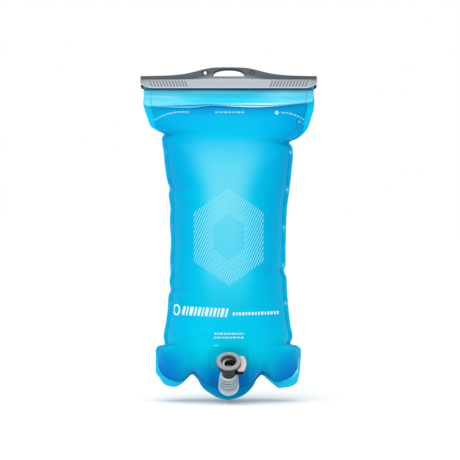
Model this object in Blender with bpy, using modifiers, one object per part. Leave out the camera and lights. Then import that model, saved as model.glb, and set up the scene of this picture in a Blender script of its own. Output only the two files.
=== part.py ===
"""Hydration bladder: a welded film reservoir, closed at the top by a slide-on seal and drained at the
bottom through a ribbed elbow and a quick-connect socket with a shut-off valve.

Frame: metres, +Z up, the front faces -Y. The origin is the middle of the hang slot's roof, the edge that
a hook bears on. Everything below it is worked out downwards from there.
"""

import math

import bmesh
import bpy
import numpy as np
from mathutils import Matrix, Vector

MM = 0.001

# ---------------------------------------------------------------- driving dimensions
# Film and fold
FILM = 0.5 * MM  # thickness of one film
GAP = 0.3 * MM  # clearance between pieces that touch
PITCH = FILM + GAP  # from one film's middle to the next
ROD_RADIUS = 1.2 * MM  # round rod inside the folded mouth
REAR_RAIL_DEPTH = 2.0 * MM
REAR_RAIL_HEIGHT = 5.0 * MM
FLAP_LENGTH = 16.7 * MM  # how far the folded mouth hangs below the slider
FLAP_STAND_OFF = 1.0 * MM  # extra room between the flap's layers where they hang free
WRAP_ANGLE = math.radians(60)  # how far the films follow the rod past its front

# Slide seal
SLIDER_OVERHANG = 3.8 * MM  # past each end of the folded mouth
SLIDER_WALL = 1.7 * MM
CHANNEL_ROOF = 1.4 * MM  # thickness over the channel
CHANNEL_CLEARANCE = 0.35 * MM  # between the channel and the folded mouth
LIP_HEIGHT = 1.7 * MM
FIN_THICKNESS = 3.4 * MM
FIN_END_HEIGHT = 3.1 * MM  # fin above the channel at the ends
FIN_RISE = 9.0 * MM  # how much higher its crown is
FIN_CROWN_HALF = 35 * MM  # half width of the crown, at half its rise
SLOT_WIDTH = 31 * MM
SLOT_HEIGHT = 5.9 * MM
SLOT_SILL = 3.0 * MM  # from the channel's outside up to the slot's floor
EYELET_RADIUS = 1.7 * MM
EYELET_SPACING = 8.2 * MM  # from the slot's end to the eyelet's middle
FRONT_CORNER = (13.5 * MM, 6.2 * MM)  # rounding of the front wall's lower corners
REAR_CORNER = (3.0 * MM, 3.0 * MM)
GRIP_COUNT = 12
GRIP_PITCH = 3.2 * MM
GRIP_HEIGHT = 6.0 * MM
GRIP_DEPTH = 0.5 * MM
GRIP_END = 10.8 * MM  # from the slider's end to the last groove
GRIP_LEAN = math.radians(24)

# Reservoir, as inflated
MOUTH_WIDTH = 170.4 * MM
SHOULDER_SWELL = 1.6 * MM  # how much wider the shoulders are than the mouth
CHEST_WIDTH = 129 * MM
WAIST_WIDTH = 115 * MM
HIP_WIDTH = 128.6 * MM
EAR_WIDTH = 145 * MM
BODY_DEPTH = 81 * MM  # front to back over both films
BODY_HEIGHT = 314.4 * MM  # slider's lower edge to the lowest lobe
SIDE_WELD = 4.5 * MM
MOUTH_WELD = 8.1 * MM
EAR_WELD = 3.5 * MM
BOTTOM_WELD = 14 * MM  # height of the flat weld under the port

# Outlet
PORT_TILT = math.radians(28)  # the port looks down by this much
PORT_ABOVE_SEAM = 8.6 * MM
PORT_SEAM_DEPTH = 10.6 * MM  # how far the film stands out just above the bottom seam
PORT_PLATE = (40 * MM, 36 * MM, 1.0 * MM)
PLATE_ABOVE_SEAM = 6.0 * MM
PLATE_SET_IN = 0.9 * MM  # extra room between the plate and the film
NECK_LENGTH = 13 * MM  # film to the middle of the elbow's bulb
NECK_BORE = 4.2 * MM
NECK_WALL = 2.1 * MM
BASE_FLANGE = 2.0 * MM  # how far the welded base reaches past the neck
BASE_THICKNESS = 1.2 * MM
ELBOW_WALL = 4.3 * MM
BULB_SWELL = 1.2 * MM  # how far the bulb swells past the sleeve
RIB_COUNT = 4
RIB_PITCH = 3.8 * MM
RIB_WIDTH = 2.0 * MM
RIB_HEIGHT = 1.1 * MM
AXIS_RISE = math.radians(46)  # the socket's axis above level

# Quick-connect socket
BORE_RADIUS = 6.2 * MM  # for the nose of the tube's plug
HOUSING_WALL = 2.6 * MM
COLLAR_FLANGE = 3.6 * MM  # how far the collar reaches past the housing
COLLAR_HEIGHT = 3.2 * MM
COLLAR_FLARE = 1.8 * MM
SEAL_WIRE = 0.75 * MM
SEAL_SQUEEZE = 0.5 * MM  # how far the bore seal stands into the bore
SEAT_RADIUS = 4.0 * MM
SEAT_THICKNESS = 0.8 * MM
LATCH_GAP = 0.5 * MM  # between the housing's top and the latch plate
LATCH_THICKNESS = 2.1 * MM
LATCH_RIM = 0.4 * MM  # what is left of the plate beside its hole
LATCH_TRAVEL = 2.2 * MM
TAB_REACH = 8.6 * MM  # past the housing
TAB_START = 0.6 * MM
TAB_HALF_WIDTH = 9.5 * MM
TAB_CROWN = 2.6 * MM
PAD_THICKNESS = 2.2 * MM
PAD_HALF_WIDTH = 6.0 * MM
PAD_HEIGHT = 6.5 * MM
SHELF_HALF_WIDTH = 4.5 * MM
SHELF_THICKNESS = 1.7 * MM
SPRING_WIRE = 0.3 * MM
LATCH_SPRING_RADIUS = 1.3 * MM
VALVE_SPRING_RADIUS = 2.5 * MM
VALVE_SPRING_LENGTH = 8.7 * MM
VALVE_TRAVEL = 2.5 * MM
POPPET_LIP = 0.6 * MM  # how far the poppet's head reaches under the seat
POPPET_THICKNESS = 1.2 * MM
POPPET_SEAL_WIRE = 0.45 * MM
WATER_GAP = 0.6 * MM  # round the poppet's head and the spring
NOSE_RADIUS = 2.5 * MM
NOSE_LENGTH = 4.7 * MM
STEM_LENGTH = 3.6 * MM
TAIL_WALL = 0.7 * MM
TAIL_LENGTH = 14.2 * MM
BARB_COUNT = 3
BARB_PITCH = 3.0 * MM
BARB_HEIGHT = 0.5 * MM

# ---------------------------------------------------------------- places worked out from them
CHANNEL_TOP = -SLOT_HEIGHT - SLOT_SILL
SEAM_Y = PITCH  # the reservoir's seam stands behind the slider's middle by one film
FRONT_Y = SEAM_Y - PITCH / 2
BACK_Y = SEAM_Y + PITCH / 2
INNER_WRAP = ROD_RADIUS + GAP + FILM / 2
OUTER_WRAP = INNER_WRAP + PITCH
ROD_Y = FRONT_Y - INNER_WRAP
ROD_Z = CHANNEL_TOP - CHANNEL_ROOF - 0.5 * MM - FILM / 2 - OUTER_WRAP
CAVITY_FRONT = ROD_Y - OUTER_WRAP - FILM / 2 - CHANNEL_CLEARANCE
REAR_RAIL_Y = BACK_Y + FILM / 2 + GAP
CAVITY_BACK = REAR_RAIL_Y + REAR_RAIL_DEPTH + CHANNEL_CLEARANCE
CAVITY_TOP = CHANNEL_TOP - CHANNEL_ROOF
LIP_TOP = ROD_Z - OUTER_WRAP - GAP - 0.45 * MM
SLIDER_BOTTOM = LIP_TOP - LIP_HEIGHT
THROAT_HALF = 1.5 * PITCH + FILM / 2 + CHANNEL_CLEARANCE
MOUTH_HALF = MOUTH_WIDTH / 2
OUTLINE_BOTTOM = SLIDER_BOTTOM - BODY_HEIGHT
SEAM_BOTTOM = OUTLINE_BOTTOM + BOTTOM_WELD
HALF_DEPTH = BODY_DEPTH / 2 - PITCH / 2 - FILM / 2
SLIDER_LENGTH = MOUTH_WIDTH + 2 * SLIDER_OVERHANG

# The socket is laid out down its axis from the collar's face, and outwards from its bore and its spring.
HOUSING_RADIUS = BORE_RADIUS + HOUSING_WALL
COLLAR_RADIUS = HOUSING_RADIUS + COLLAR_FLANGE
HOUSING_TOP = COLLAR_HEIGHT + GAP
LATCH_TOP = HOUSING_TOP + LATCH_GAP
LATCH_BOTTOM = LATCH_TOP + LATCH_THICKNESS
LATCH_HOLE = BORE_RADIUS + 0.4 * MM
LATCH_HALF_WIDTH = LATCH_HOLE + LATCH_RIM
TAB_FACE = HOUSING_RADIUS + TAB_REACH
PAD_FACE = TAB_FACE - PAD_THICKNESS
PAD_BOTTOM = LATCH_TOP + PAD_HEIGHT
SEAL_RADIUS = BORE_RADIUS + SEAL_WIRE - SEAL_SQUEEZE
SEAL_DEPTH = LATCH_BOTTOM + 2 * GAP + 0.85 * MM + SEAL_WIRE
SEAT_DEPTH = SEAL_DEPTH + SEAL_WIRE + GAP + 1.05 * MM
SEAT_BOTTOM = SEAT_DEPTH + SEAT_THICKNESS
POPPET_RADIUS = SEAT_RADIUS + POPPET_LIP
POPPET_SEAL_RADIUS = SEAT_RADIUS + POPPET_SEAL_WIRE / 2
POPPET_TOP = SEAT_BOTTOM + 2 * GAP + 2 * POPPET_SEAL_WIRE
POPPET_BOTTOM = POPPET_TOP + POPPET_THICKNESS
CHAMBER_RADIUS = POPPET_RADIUS + WATER_GAP
HOUSING_END_RADIUS = CHAMBER_RADIUS + 1.8 * MM
STEM_RADIUS = VALVE_SPRING_RADIUS - SPRING_WIRE - WATER_GAP
SPRING_BORE = VALVE_SPRING_RADIUS + SPRING_WIRE + WATER_GAP
SPRING_SHELF = POPPET_BOTTOM + 2 * GAP + VALVE_SPRING_LENGTH
TAIL_TOP = POPPET_BOTTOM + VALVE_TRAVEL + 0.4 * MM
TAIL_BOTTOM = TAIL_TOP + TAIL_LENGTH
TAIL_BORE = VALVE_SPRING_RADIUS - SPRING_WIRE
TAIL_RADIUS = SPRING_BORE + TAIL_WALL
HOUSING_LENGTH = TAIL_TOP + 1.9 * MM
ELBOW_TOP = HOUSING_LENGTH - 1.7 * MM
ELBOW_BORE = TAIL_RADIUS + BARB_HEIGHT + GAP
ELBOW_RADIUS = ELBOW_BORE + ELBOW_WALL
BULB_RADIUS = ELBOW_RADIUS + BULB_SWELL
SOCKET_REACH = TAIL_BOTTOM + 5.5 * MM  # bulb's middle to the collar's face
NECK_RADIUS = NECK_BORE + NECK_WALL
PORT_HOLE_RADIUS = NECK_RADIUS + 0.5 * MM
BASE_RADIUS = NECK_RADIUS + BASE_FLANGE



def half_between(first, second, share):
    """Half of a width that lies a share of the way from the first width to the second."""
    return (first + (second - first) * share) / 2


# Half width of the outline against the height down the body, as shares of the body's height
SHOULDER_WIDTH = MOUTH_WIDTH + SHOULDER_SWELL
SIDE_OUTLINE = (
    (0.000, MOUTH_HALF),
    (0.048, SHOULDER_WIDTH / 2),
    (0.100, half_between(SHOULDER_WIDTH, CHEST_WIDTH, 0.23)),
    (0.130, half_between(SHOULDER_WIDTH, CHEST_WIDTH, 0.53)),
    (0.155, half_between(SHOULDER_WIDTH, CHEST_WIDTH, 0.98)),
    (0.180, CHEST_WIDTH / 2),
    (0.300, half_between(CHEST_WIDTH, WAIST_WIDTH, 0.75)),
    (0.520, WAIST_WIDTH / 2),
    (0.630, half_between(WAIST_WIDTH, HIP_WIDTH, 0.03)),
    (0.795, HIP_WIDTH / 2),
    (0.815, HIP_WIDTH / 2),
    (0.838, EAR_WIDTH / 2),
    (1.000, EAR_WIDTH / 2),
)
WELD_WIDTH = (
    (0.00, MOUTH_WELD),
    (0.10, MOUTH_WELD),
    (0.16, SIDE_WELD),
    (0.81, SIDE_WELD),
    (0.85, EAR_WELD),
)
# Depth of the film down the middle, as a share of the full half depth
DEPTH_PROFILE = (
    (0.000, 0.00),
    (0.020, 0.02),
    (0.050, 0.16),
    (0.105, 0.43),
    (0.170, 0.67),
    (0.260, 0.88),
    (0.390, 0.98),
    (0.500, 1.00),
    (0.620, 0.97),
    (0.720, 0.88),
)
# Rise of the bottom seam and of the outline above their lowest points, across the half width
SEAM_LOBES = ((0, 0), (0.14, 2.6), (0.42, 10.5), (0.50, 14), (0.57, 11.5), (0.68, 5), (0.80, 6.5),
              (0.92, 11.7), (1.0, 22))
OUTLINE_LOBES = ((0, 0), (0.2, 4.9), (0.34, 13.5), (0.42, 22.5), (0.47, 25.8), (0.53, 22),
                 (0.70, 12.6), (0.87, 15), (0.95, 19), (1.0, 29))
# Where a panel's rows lie down the body, and its columns across the half width
BODY_ROW_SHARES = (0, 0.02, 0.05, 0.09, 0.13, 0.165, 0.22, 0.32, 0.44, 0.56, 0.68, 0.78, 0.84, 0.89, 0.93,
                   0.963, 0.983, 0.993, 1.0)
COLUMN_SHARES = (0.13, 0.26, 0.38, 0.47, 0.57, 0.70, 0.82, 0.92, 0.975, 1.0)


# ---------------------------------------------------------------- curves and places
def smooth_through(knots, at):
    """Value at `at` on a smooth curve through the knots that never overshoots them."""
    place, value = (np.array(column, float) for column in zip(*knots))
    step = np.diff(place)
    slope = np.diff(value) / step
    same_way = slope[1:] * slope[:-1] > 0
    product = np.where(same_way, slope[1:] * slope[:-1], 0)
    total = np.where(same_way, slope[1:] + slope[:-1], 1)
    tangent = np.concatenate([[slope[0]], 2 * product / total, [slope[-1]]])
    at = np.clip(at, place[0], place[-1])
    i = np.clip(np.searchsorted(place, at) - 1, 0, len(step) - 1)
    t = (at - place[i]) / step[i]
    return (
        value[i] * (1 + 2 * t) * (1 - t) ** 2
        + value[i + 1] * t * t * (3 - 2 * t)
        + tangent[i] * step[i] * t * (1 - t) ** 2
        - tangent[i + 1] * step[i] * t * t * (1 - t)
    )


def share_down(z):
    """How far down the body a height is, from 0 at the slider's lower edge to 1 at the lowest lobe."""
    return np.clip((SLIDER_BOTTOM - z) / BODY_HEIGHT, 0, 1)


def outline_half(z):
    return smooth_through(SIDE_OUTLINE, share_down(z))


def seam_half(z):
    return outline_half(z) - smooth_through(WELD_WIDTH, share_down(z))


def seam_floor(across):
    """Height of the bottom seam, across = 0 in the middle and 1 at the side."""
    return SEAM_BOTTOM + smooth_through(SEAM_LOBES, abs(across)) * MM


def outline_floor(across):
    return OUTLINE_BOTTOM + smooth_through(OUTLINE_LOBES, abs(across)) * MM


def film_depth(across, z):
    """How far a film stands out from the seam's plane."""
    port_line = PORT_SEAM_DEPTH + (z - SEAM_BOTTOM) * math.tan(PORT_TILT)
    middle = smooth_through(DEPTH_PROFILE, share_down(z)) * HALF_DEPTH
    low = np.clip((share_down(z) - 0.70) / 0.14, 0, 1)
    middle = middle * (1 - low) + min(port_line, HALF_DEPTH) * low
    bluntness = 2.1 + 1.3 * low
    crown = max(0.0, 1 - abs(across) ** bluntness) ** (1 / bluntness)
    closing_height = (5 + 20 * np.clip((abs(across) - 0.3) / 0.35, 0, 1)) * MM
    rise = np.clip((z - seam_floor(across)) / closing_height, 0, 1)
    return float(middle * crown * math.sqrt(1 - (1 - rise) ** 2))


def port_point(along=0.0, out=0.0):
    """A point on the port's axis: along the film upwards, then outwards."""
    z = SEAM_BOTTOM + PORT_ABOVE_SEAM
    y = FRONT_Y - PORT_SEAM_DEPTH - PORT_ABOVE_SEAM * math.tan(PORT_TILT)
    normal = Vector((0, -math.cos(PORT_TILT), -math.sin(PORT_TILT)))
    up = Vector((0, -math.sin(PORT_TILT), math.cos(PORT_TILT)))
    return Vector((0, y, z)) + up * along + normal * out


SOCKET_AXIS = Vector((0, -math.cos(AXIS_RISE), math.sin(AXIS_RISE)))
BULB_CENTRE = port_point(out=NECK_LENGTH)
COLLAR_FACE = BULB_CENTRE + SOCKET_AXIS * SOCKET_REACH


# ---------------------------------------------------------------- Blender helpers
def clear_scene():
    for thing in list(bpy.data.objects):
        bpy.data.objects.remove(thing)


def make_collection(name):
    made = bpy.data.collections.new(name)
    bpy.context.scene.collection.children.link(made)
    return made


def finish(name, colour, roughness, metallic=0.0, alpha=1.0):
    made = bpy.data.materials.new(name)
    made.use_nodes = True
    shader = made.node_tree.nodes["Principled BSDF"]
    shader.inputs["Base Color"].default_value = (*colour, 1)
    shader.inputs["Roughness"].default_value = roughness
    shader.inputs["Metallic"].default_value = metallic
    shader.inputs["Alpha"].default_value = alpha
    return made


def add(name, data, material=None, parent=None, place=(0, 0, 0), turn=(0, 0, 0)):
    """A named piece. Without a material it is a cutter or a helper, which isn't part of the object."""
    made = bpy.data.objects.new(name, data)
    made.location = place
    made.rotation_euler = turn
    made.parent = parent
    if material is None:
        CUTTERS.objects.link(made)
        made.hide_render = True
        made.display_type = "WIRE"
    else:
        PIECES.objects.link(made)
        data.materials.append(material)
    return made


def combine(piece, operation, other):
    cut = piece.modifiers.new(other.name, "BOOLEAN")
    cut.operation = operation
    cut.solver = "EXACT"
    cut.object = other


def box_mesh(low, high):
    """A box between two corners."""
    made = bmesh.new()
    size = Vector(high) - Vector(low)
    middle = (Vector(high) + Vector(low)) / 2
    bmesh.ops.create_cube(made, size=1, matrix=Matrix.Translation(middle) @ Matrix.Diagonal((*size, 1)))
    return mesh_of("box", made)


def mesh_of(name, made):
    data = bpy.data.meshes.new(name)
    made.to_mesh(data)
    made.free()
    return data


def cylinder_mesh(radius, low, high, sides=32):
    """A cylinder on the local Z axis."""
    made = bmesh.new()
    bmesh.ops.create_cone(
        made, cap_ends=True, segments=sides, radius1=radius, radius2=radius, depth=high - low,
        matrix=Matrix.Translation((0, 0, (low + high) / 2)),
    )
    return mesh_of("cylinder", made)


def turned(name, profile, material=None, parent=None, steps=24, **where):
    """A piece turned round its local Z axis. The profile is (radius, height) points, down the outside
    and, if the piece is hollow, back up the inside."""
    made = bmesh.new()
    points = [made.verts.new((radius, 0, height)) for radius, height in profile]
    hollow = min(radius for radius, _ in profile) > 0
    last = len(points) if hollow else len(points) - 1
    for i in range(last):
        made.edges.new((points[i], points[(i + 1) % len(points)]))
    piece = add(name, mesh_of(name, made), material, parent, **where)
    screw = piece.modifiers.new("turn", "SCREW")
    screw.axis = "Z"
    screw.steps = screw.render_steps = steps
    screw.use_merge_vertices = True
    screw.merge_threshold = 0.00001
    return piece


def slab(name, outline, half_thickness, material=None, parent=None, **where):
    """A flat outline, in the local XY plane, thickened both ways along local Z, as a mesh."""
    curve = bpy.data.curves.new(name, "CURVE")
    curve.dimensions = "2D"
    curve.fill_mode = "BOTH"
    curve.extrude = half_thickness
    line = curve.splines.new("POLY")
    line.points.add(len(outline) - 1)
    for point, (x, y) in zip(line.points, outline):
        point.co = (x, y, 0, 1)
    line.use_cyclic_u = True
    drawn = bpy.data.objects.new(name + "_outline", curve)
    bpy.context.scene.collection.objects.link(drawn)
    graph = bpy.context.evaluated_depsgraph_get()
    data = bpy.data.meshes.new_from_object(drawn.evaluated_get(graph))
    bpy.data.objects.remove(drawn)
    welded = bmesh.new()
    welded.from_mesh(data)
    bmesh.ops.remove_doubles(welded, verts=welded.verts, dist=0.000001)
    bmesh.ops.recalc_face_normals(welded, faces=welded.faces)
    bpy.data.meshes.remove(data)
    return add(name, mesh_of(name, welded), material, parent, **where)


def corner_arc(centre, radii, start, steps=5):
    """A quarter of an ellipse, counter-clockwise from `start` quarter turns."""
    turns = [math.radians(90) * (start + i / steps) for i in range(steps + 1)]
    return [(centre[0] + radii[0] * math.cos(a), centre[1] + radii[1] * math.sin(a)) for a in turns]


def rounded_box_outline(low, high, radius):
    """A rectangle with round corners, counter-clockwise."""
    corners = ((high[0], high[1]), (low[0], high[1]), (low[0], low[1]), (high[0], low[1]))
    middle = ((low[0] + high[0]) / 2, (low[1] + high[1]) / 2)
    found = []
    for start, (x, y) in enumerate(corners):
        centre = (x - math.copysign(radius, x - middle[0]), y - math.copysign(radius, y - middle[1]))
        found += corner_arc(centre, (radius, radius), start)
    return found


def smooth_shade(piece, angle=35):
    piece.data.shade_smooth()
    piece.data.set_sharp_from_angle(angle=math.radians(angle))


def ring(name, radius, wire, material, parent, depth):
    """An O-ring round the local Z axis, `depth` below the parent's origin."""
    bpy.ops.mesh.primitive_torus_add(
        major_radius=radius, minor_radius=wire, major_segments=28, minor_segments=8
    )
    data = bpy.context.object.data
    bpy.data.objects.remove(bpy.context.object)
    return add(name, data, material, parent, place=(0, 0, -depth))


def coil_spring(name, start, end, radius, turns, material, parent):
    """A compression spring between two points on one line, with its last turns closed up."""
    per_turn = 10
    count = int(turns * per_turn)
    axis = Vector(end) - Vector(start)
    length = axis.length - 2 * SPRING_WIRE
    side = axis.orthogonal().normalized()
    across = axis.normalized().cross(side)
    curve = bpy.data.curves.new(name, "CURVE")
    curve.dimensions = "3D"
    curve.bevel_depth = SPRING_WIRE
    curve.bevel_resolution = 1
    curve.use_fill_caps = True
    line = curve.splines.new("POLY")
    line.points.add(count)
    for i, point in enumerate(line.points):
        share = i / count
        along = SPRING_WIRE + length * share
        angle = 2 * math.pi * i / per_turn
        at = (
            Vector(start)
            + axis.normalized() * along
            + side * radius * math.cos(angle)
            + across * radius * math.sin(angle)
        )
        point.co = (*at, 1)
    return add(name, curve, material, parent)


# ---------------------------------------------------------------- the film panels
def wrap_path(radius, front_y):
    """A film's middle line in Y and Z: up through the throat's front side, over the rod and to its back."""
    leave = math.pi + WRAP_ANGLE
    foot = (ROD_Y + radius * math.cos(leave), ROD_Z + radius * math.sin(leave))
    bend_z = foot[1] - (front_y - foot[0]) / math.tan(WRAP_ANGLE)
    steps = 8
    over = [leave * (1 - i / steps) for i in range(steps + 1)]
    round_rod = [(ROD_Y + radius * math.cos(a), ROD_Z + radius * math.sin(a)) for a in over]
    return [(front_y, SLIDER_BOTTOM), (front_y, bend_z)] + round_rod


def panel_rows(layer):
    """The rows of a panel, from the flap's free edge over the rod and down to the bottom outline. The
    flap's rows hold a height, the wrap's a place in Y and Z, the body's and the weld's a share down."""
    flap_rows = [("flap", SLIDER_BOTTOM - FLAP_LENGTH * share) for share in (1, 2 / 3, 1 / 3)]
    radius = INNER_WRAP if layer == 1 else OUTER_WRAP
    wrap_rows = [("wrap", place) for place in wrap_path(radius, FRONT_Y - layer * PITCH)]
    body_rows = [("body", share) for share in BODY_ROW_SHARES]
    return flap_rows + wrap_rows + body_rows + [("weld", 0.5), ("weld", 1.0)]


def flap_depth(across, z, layer):
    """How far a layer of the flap hangs in front of the seam's plane: over the film behind it."""
    hanging_free = np.clip((SLIDER_BOTTOM - z) / (10 * MM), 0, 1)
    return film_depth(across, z) + layer * (PITCH + FLAP_STAND_OFF * hanging_free)


def panel_point(row, across, at_edge, side, layer):
    """A point of a panel's middle surface. at_edge is true on the weld's outer edge."""
    kind, value = row
    mouth_x = across * (MOUTH_HALF if at_edge else MOUTH_HALF - MOUTH_WELD)
    if kind == "wrap":
        return mouth_x, *value
    if kind == "flap":
        return mouth_x, FRONT_Y - flap_depth(across, value, layer), value
    top, bottom = (SLIDER_BOTTOM, seam_floor(across)) if kind == "body" else (
        seam_floor(across), outline_floor(across))
    z = top + (bottom - top) * value
    if at_edge:
        half = outline_half(z)
    else:
        half = seam_half(z if kind == "body" else top)
    depth = film_depth(across, z) if kind == "body" and not at_edge else 0.0
    return across * half, (FRONT_Y - depth if side < 0 else BACK_Y + depth), z


def film_panel(name, side, layer, material):
    """One film of the reservoir: side is -1 in front and 1 behind, layer 1 or 2 is its place in the flap.
    It is a grid moved onto the panel's surface and given the film's thickness."""
    across = [-share for share in reversed(COLUMN_SHARES)] + [0.0] + list(COLUMN_SHARES)
    columns = [(-1.0, True)] + [(share, False) for share in across] + [(1.0, True)]
    rows = panel_rows(layer)
    made = bmesh.new()
    bmesh.ops.create_grid(made, x_segments=len(columns) - 1, y_segments=len(rows) - 1, size=0.5)
    for i, vertex in enumerate(made.verts):
        row, column = divmod(i, len(columns))
        vertex.co = panel_point(rows[row], *columns[column], side, layer)
    panel = add(name, mesh_of(name, made), material)
    wall = panel.modifiers.new("film", "SOLIDIFY")
    wall.thickness = FILM
    wall.offset = 0
    wall.use_even_offset = True
    panel.data.shade_smooth()
    return panel


def port_plate(material, port):
    """The stiff plate welded behind the film round the port: a patch of the film's own surface, set in."""
    width, height, thickness = PORT_PLATE
    columns, rows = 8, 8
    top = SEAM_BOTTOM + height * math.cos(PORT_TILT)
    set_in = FILM / 2 + GAP + thickness / 2 + PLATE_SET_IN
    made = bmesh.new()
    bmesh.ops.create_grid(made, x_segments=columns, y_segments=rows, size=0.5)
    for vertex in made.verts:
        x = vertex.co.x * width
        low = seam_floor(x / seam_half(SEAM_BOTTOM)) + PLATE_ABOVE_SEAM
        z = low + (vertex.co.y + 0.5) * (top - low)
        depth = film_depth(x / seam_half(z), z)
        vertex.co = (x, FRONT_Y - depth + set_in, z)
    plate = add("port_plate", mesh_of("port_plate", made), material)
    wall = plate.modifiers.new("plate", "SOLIDIFY")
    wall.thickness = thickness
    wall.offset = 0
    hole = add("plate_hole", cylinder_mesh(NECK_BORE, -6 * MM, 6 * MM), parent=port)
    combine(plate, "DIFFERENCE", hole)
    return plate


# ---------------------------------------------------------------- the slide seal
def fin_top(x):
    """Height of the fin's top edge: level at the ends, with a broad crown."""
    return CHANNEL_TOP + FIN_END_HEIGHT + FIN_RISE / (1 + (x / FIN_CROWN_HALF) ** 4)


def channel_outline():
    """The channel's section in Y and Z, with its throat at the bottom, counter-clockwise."""
    front = CAVITY_FRONT - SLIDER_WALL
    back = CAVITY_BACK + SLIDER_WALL
    soft = 1.6 * MM
    outside = [(THROAT_HALF, SLIDER_BOTTOM)]
    outside += corner_arc((back - 0.8 * MM, SLIDER_BOTTOM + 0.8 * MM), (0.8 * MM, 0.8 * MM), 3, 3)
    outside += corner_arc((back - soft, CHANNEL_TOP - soft), (soft, soft), 0, 4)
    outside += corner_arc((front + soft, CHANNEL_TOP - soft), (soft, soft), 1, 4)
    outside += corner_arc((front + 0.8 * MM, SLIDER_BOTTOM + 0.8 * MM), (0.8 * MM, 0.8 * MM), 2, 3)
    outside += [(-THROAT_HALF, SLIDER_BOTTOM)]
    inside = [(-THROAT_HALF, LIP_TOP), (CAVITY_FRONT, LIP_TOP), (CAVITY_FRONT, CAVITY_TOP),
              (CAVITY_BACK, CAVITY_TOP), (CAVITY_BACK, LIP_TOP), (THROAT_HALF, LIP_TOP)]
    return outside + inside


def fin_outline():
    half = SLIDER_LENGTH / 2
    top = [(x, fin_top(x)) for x in np.linspace(half, -half, 41)]
    return [(-half, CHANNEL_TOP - 0.6 * MM), (half, CHANNEL_TOP - 0.6 * MM)] + top


def slot_outline():
    """The hang slot: a flat floor and an arched roof."""
    half, floor = SLOT_WIDTH / 2, -SLOT_HEIGHT
    roof = [
        (half * math.cos(a), floor + SLOT_HEIGHT * math.sin(a) ** 0.8)
        for a in np.linspace(0, math.pi, 21)
    ]
    return roof


def wall_corner_outline(side, radii):
    """What is cut away below a round lower corner of the slider."""
    end = side * SLIDER_LENGTH / 2
    middle = (end - side * radii[0], SLIDER_BOTTOM + radii[1])
    arc = corner_arc(middle, radii, 3 if side > 0 else 2, 6)
    outside = (end + side * 2 * MM, SLIDER_BOTTOM - 2 * MM)
    if side > 0:
        return [(arc[0][0], outside[1]), outside, (outside[0], arc[-1][1])] + arc[::-1]
    return [(outside[0], arc[0][1]), outside, (arc[-1][0], outside[1])] + arc[::-1]


def grip_grooves(side):
    """The slanting grooves that fingers grip, as one cutter of separate bars."""
    made = bmesh.new()
    middle_z = (CHANNEL_TOP + SLIDER_BOTTOM) / 2
    face = CAVITY_FRONT - SLIDER_WALL
    for i in range(GRIP_COUNT):
        x = side * (SLIDER_LENGTH / 2 - GRIP_END - i * GRIP_PITCH)
        place = Matrix.Translation((x, face, middle_z)) @ Matrix.Rotation(side * GRIP_LEAN, 4, "Y")
        size = Matrix.Diagonal((GRIP_PITCH * 0.42, 2 * GRIP_DEPTH, GRIP_HEIGHT, 1))
        bmesh.ops.create_cube(made, size=1, matrix=place @ size)
    return add(f"grip_cutter_{'right' if side > 0 else 'left'}", mesh_of("grips", made))


def slider(material):
    """The slide seal: a channel that grips the folded mouth, under a fin with the hang slot."""
    upright = (math.radians(90), 0, 0)
    # The channel's outline is drawn in (Y, Z) and extruded along X.
    channel = slab("slider", channel_outline(), SLIDER_LENGTH / 2, material,
                   turn=(math.radians(90), 0, math.radians(90)))
    fin = slab("fin", fin_outline(), FIN_THICKNESS / 2, turn=upright)
    combine(channel, "UNION", fin)
    combine(channel, "DIFFERENCE", slab("hang_slot", slot_outline(), FIN_THICKNESS, turn=upright))
    for side in (-1, 1):
        label = "right" if side > 0 else "left"
        eyelet = add(f"eyelet_{label}", cylinder_mesh(EYELET_RADIUS, -5 * MM, 5 * MM, 20),
                     place=(side * (SLOT_WIDTH / 2 + EYELET_SPACING), 0, -SLOT_HEIGHT * 0.4), turn=upright)
        combine(channel, "DIFFERENCE", eyelet)
        front_cut = slab(f"front_corner_{label}", wall_corner_outline(side, FRONT_CORNER), 4 * MM,
                         place=(0, CAVITY_FRONT + 0.5 * MM, 0), turn=upright)
        combine(channel, "DIFFERENCE", front_cut)
        rear_cut = slab(f"rear_corner_{label}", wall_corner_outline(side, REAR_CORNER), 4 * MM,
                        place=(0, CAVITY_BACK - 0.5 * MM, 0), turn=upright)
        combine(channel, "DIFFERENCE", rear_cut)
        combine(channel, "DIFFERENCE", grip_grooves(side))
    return channel


def mouth_rails(material):
    """The rod inside the fold, and the rail welded behind it. The slider's lips hook under both."""
    along = (0, math.radians(90), 0)
    half = MOUTH_HALF
    add("fold_rod", cylinder_mesh(ROD_RADIUS, -half, half, 16), material,
        place=(0, ROD_Y, ROD_Z), turn=along)
    low = LIP_TOP + 0.4 * MM
    outline = rounded_box_outline((REAR_RAIL_Y, low), (REAR_RAIL_Y + REAR_RAIL_DEPTH, low + REAR_RAIL_HEIGHT),
                                  0.5 * MM)
    slab("rear_rail", outline, half, material, turn=(math.radians(90), 0, math.radians(90)))


# ---------------------------------------------------------------- the outlet
def elbow_profile():
    """The ribbed sleeve from its rim down to the bulb's middle, solid."""
    outside = [(0, -ELBOW_TOP), (ELBOW_RADIUS, -ELBOW_TOP)]
    for i in range(RIB_COUNT):
        top = -ELBOW_TOP - 0.2 * MM - i * RIB_PITCH
        outside += [(ELBOW_RADIUS, top), (ELBOW_RADIUS + RIB_HEIGHT, top - RIB_WIDTH / 4),
                    (ELBOW_RADIUS + RIB_HEIGHT, top - 3 * RIB_WIDTH / 4), (ELBOW_RADIUS, top - RIB_WIDTH)]
    return outside + [(ELBOW_RADIUS, -SOCKET_REACH), (0, -SOCKET_REACH)]


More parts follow.
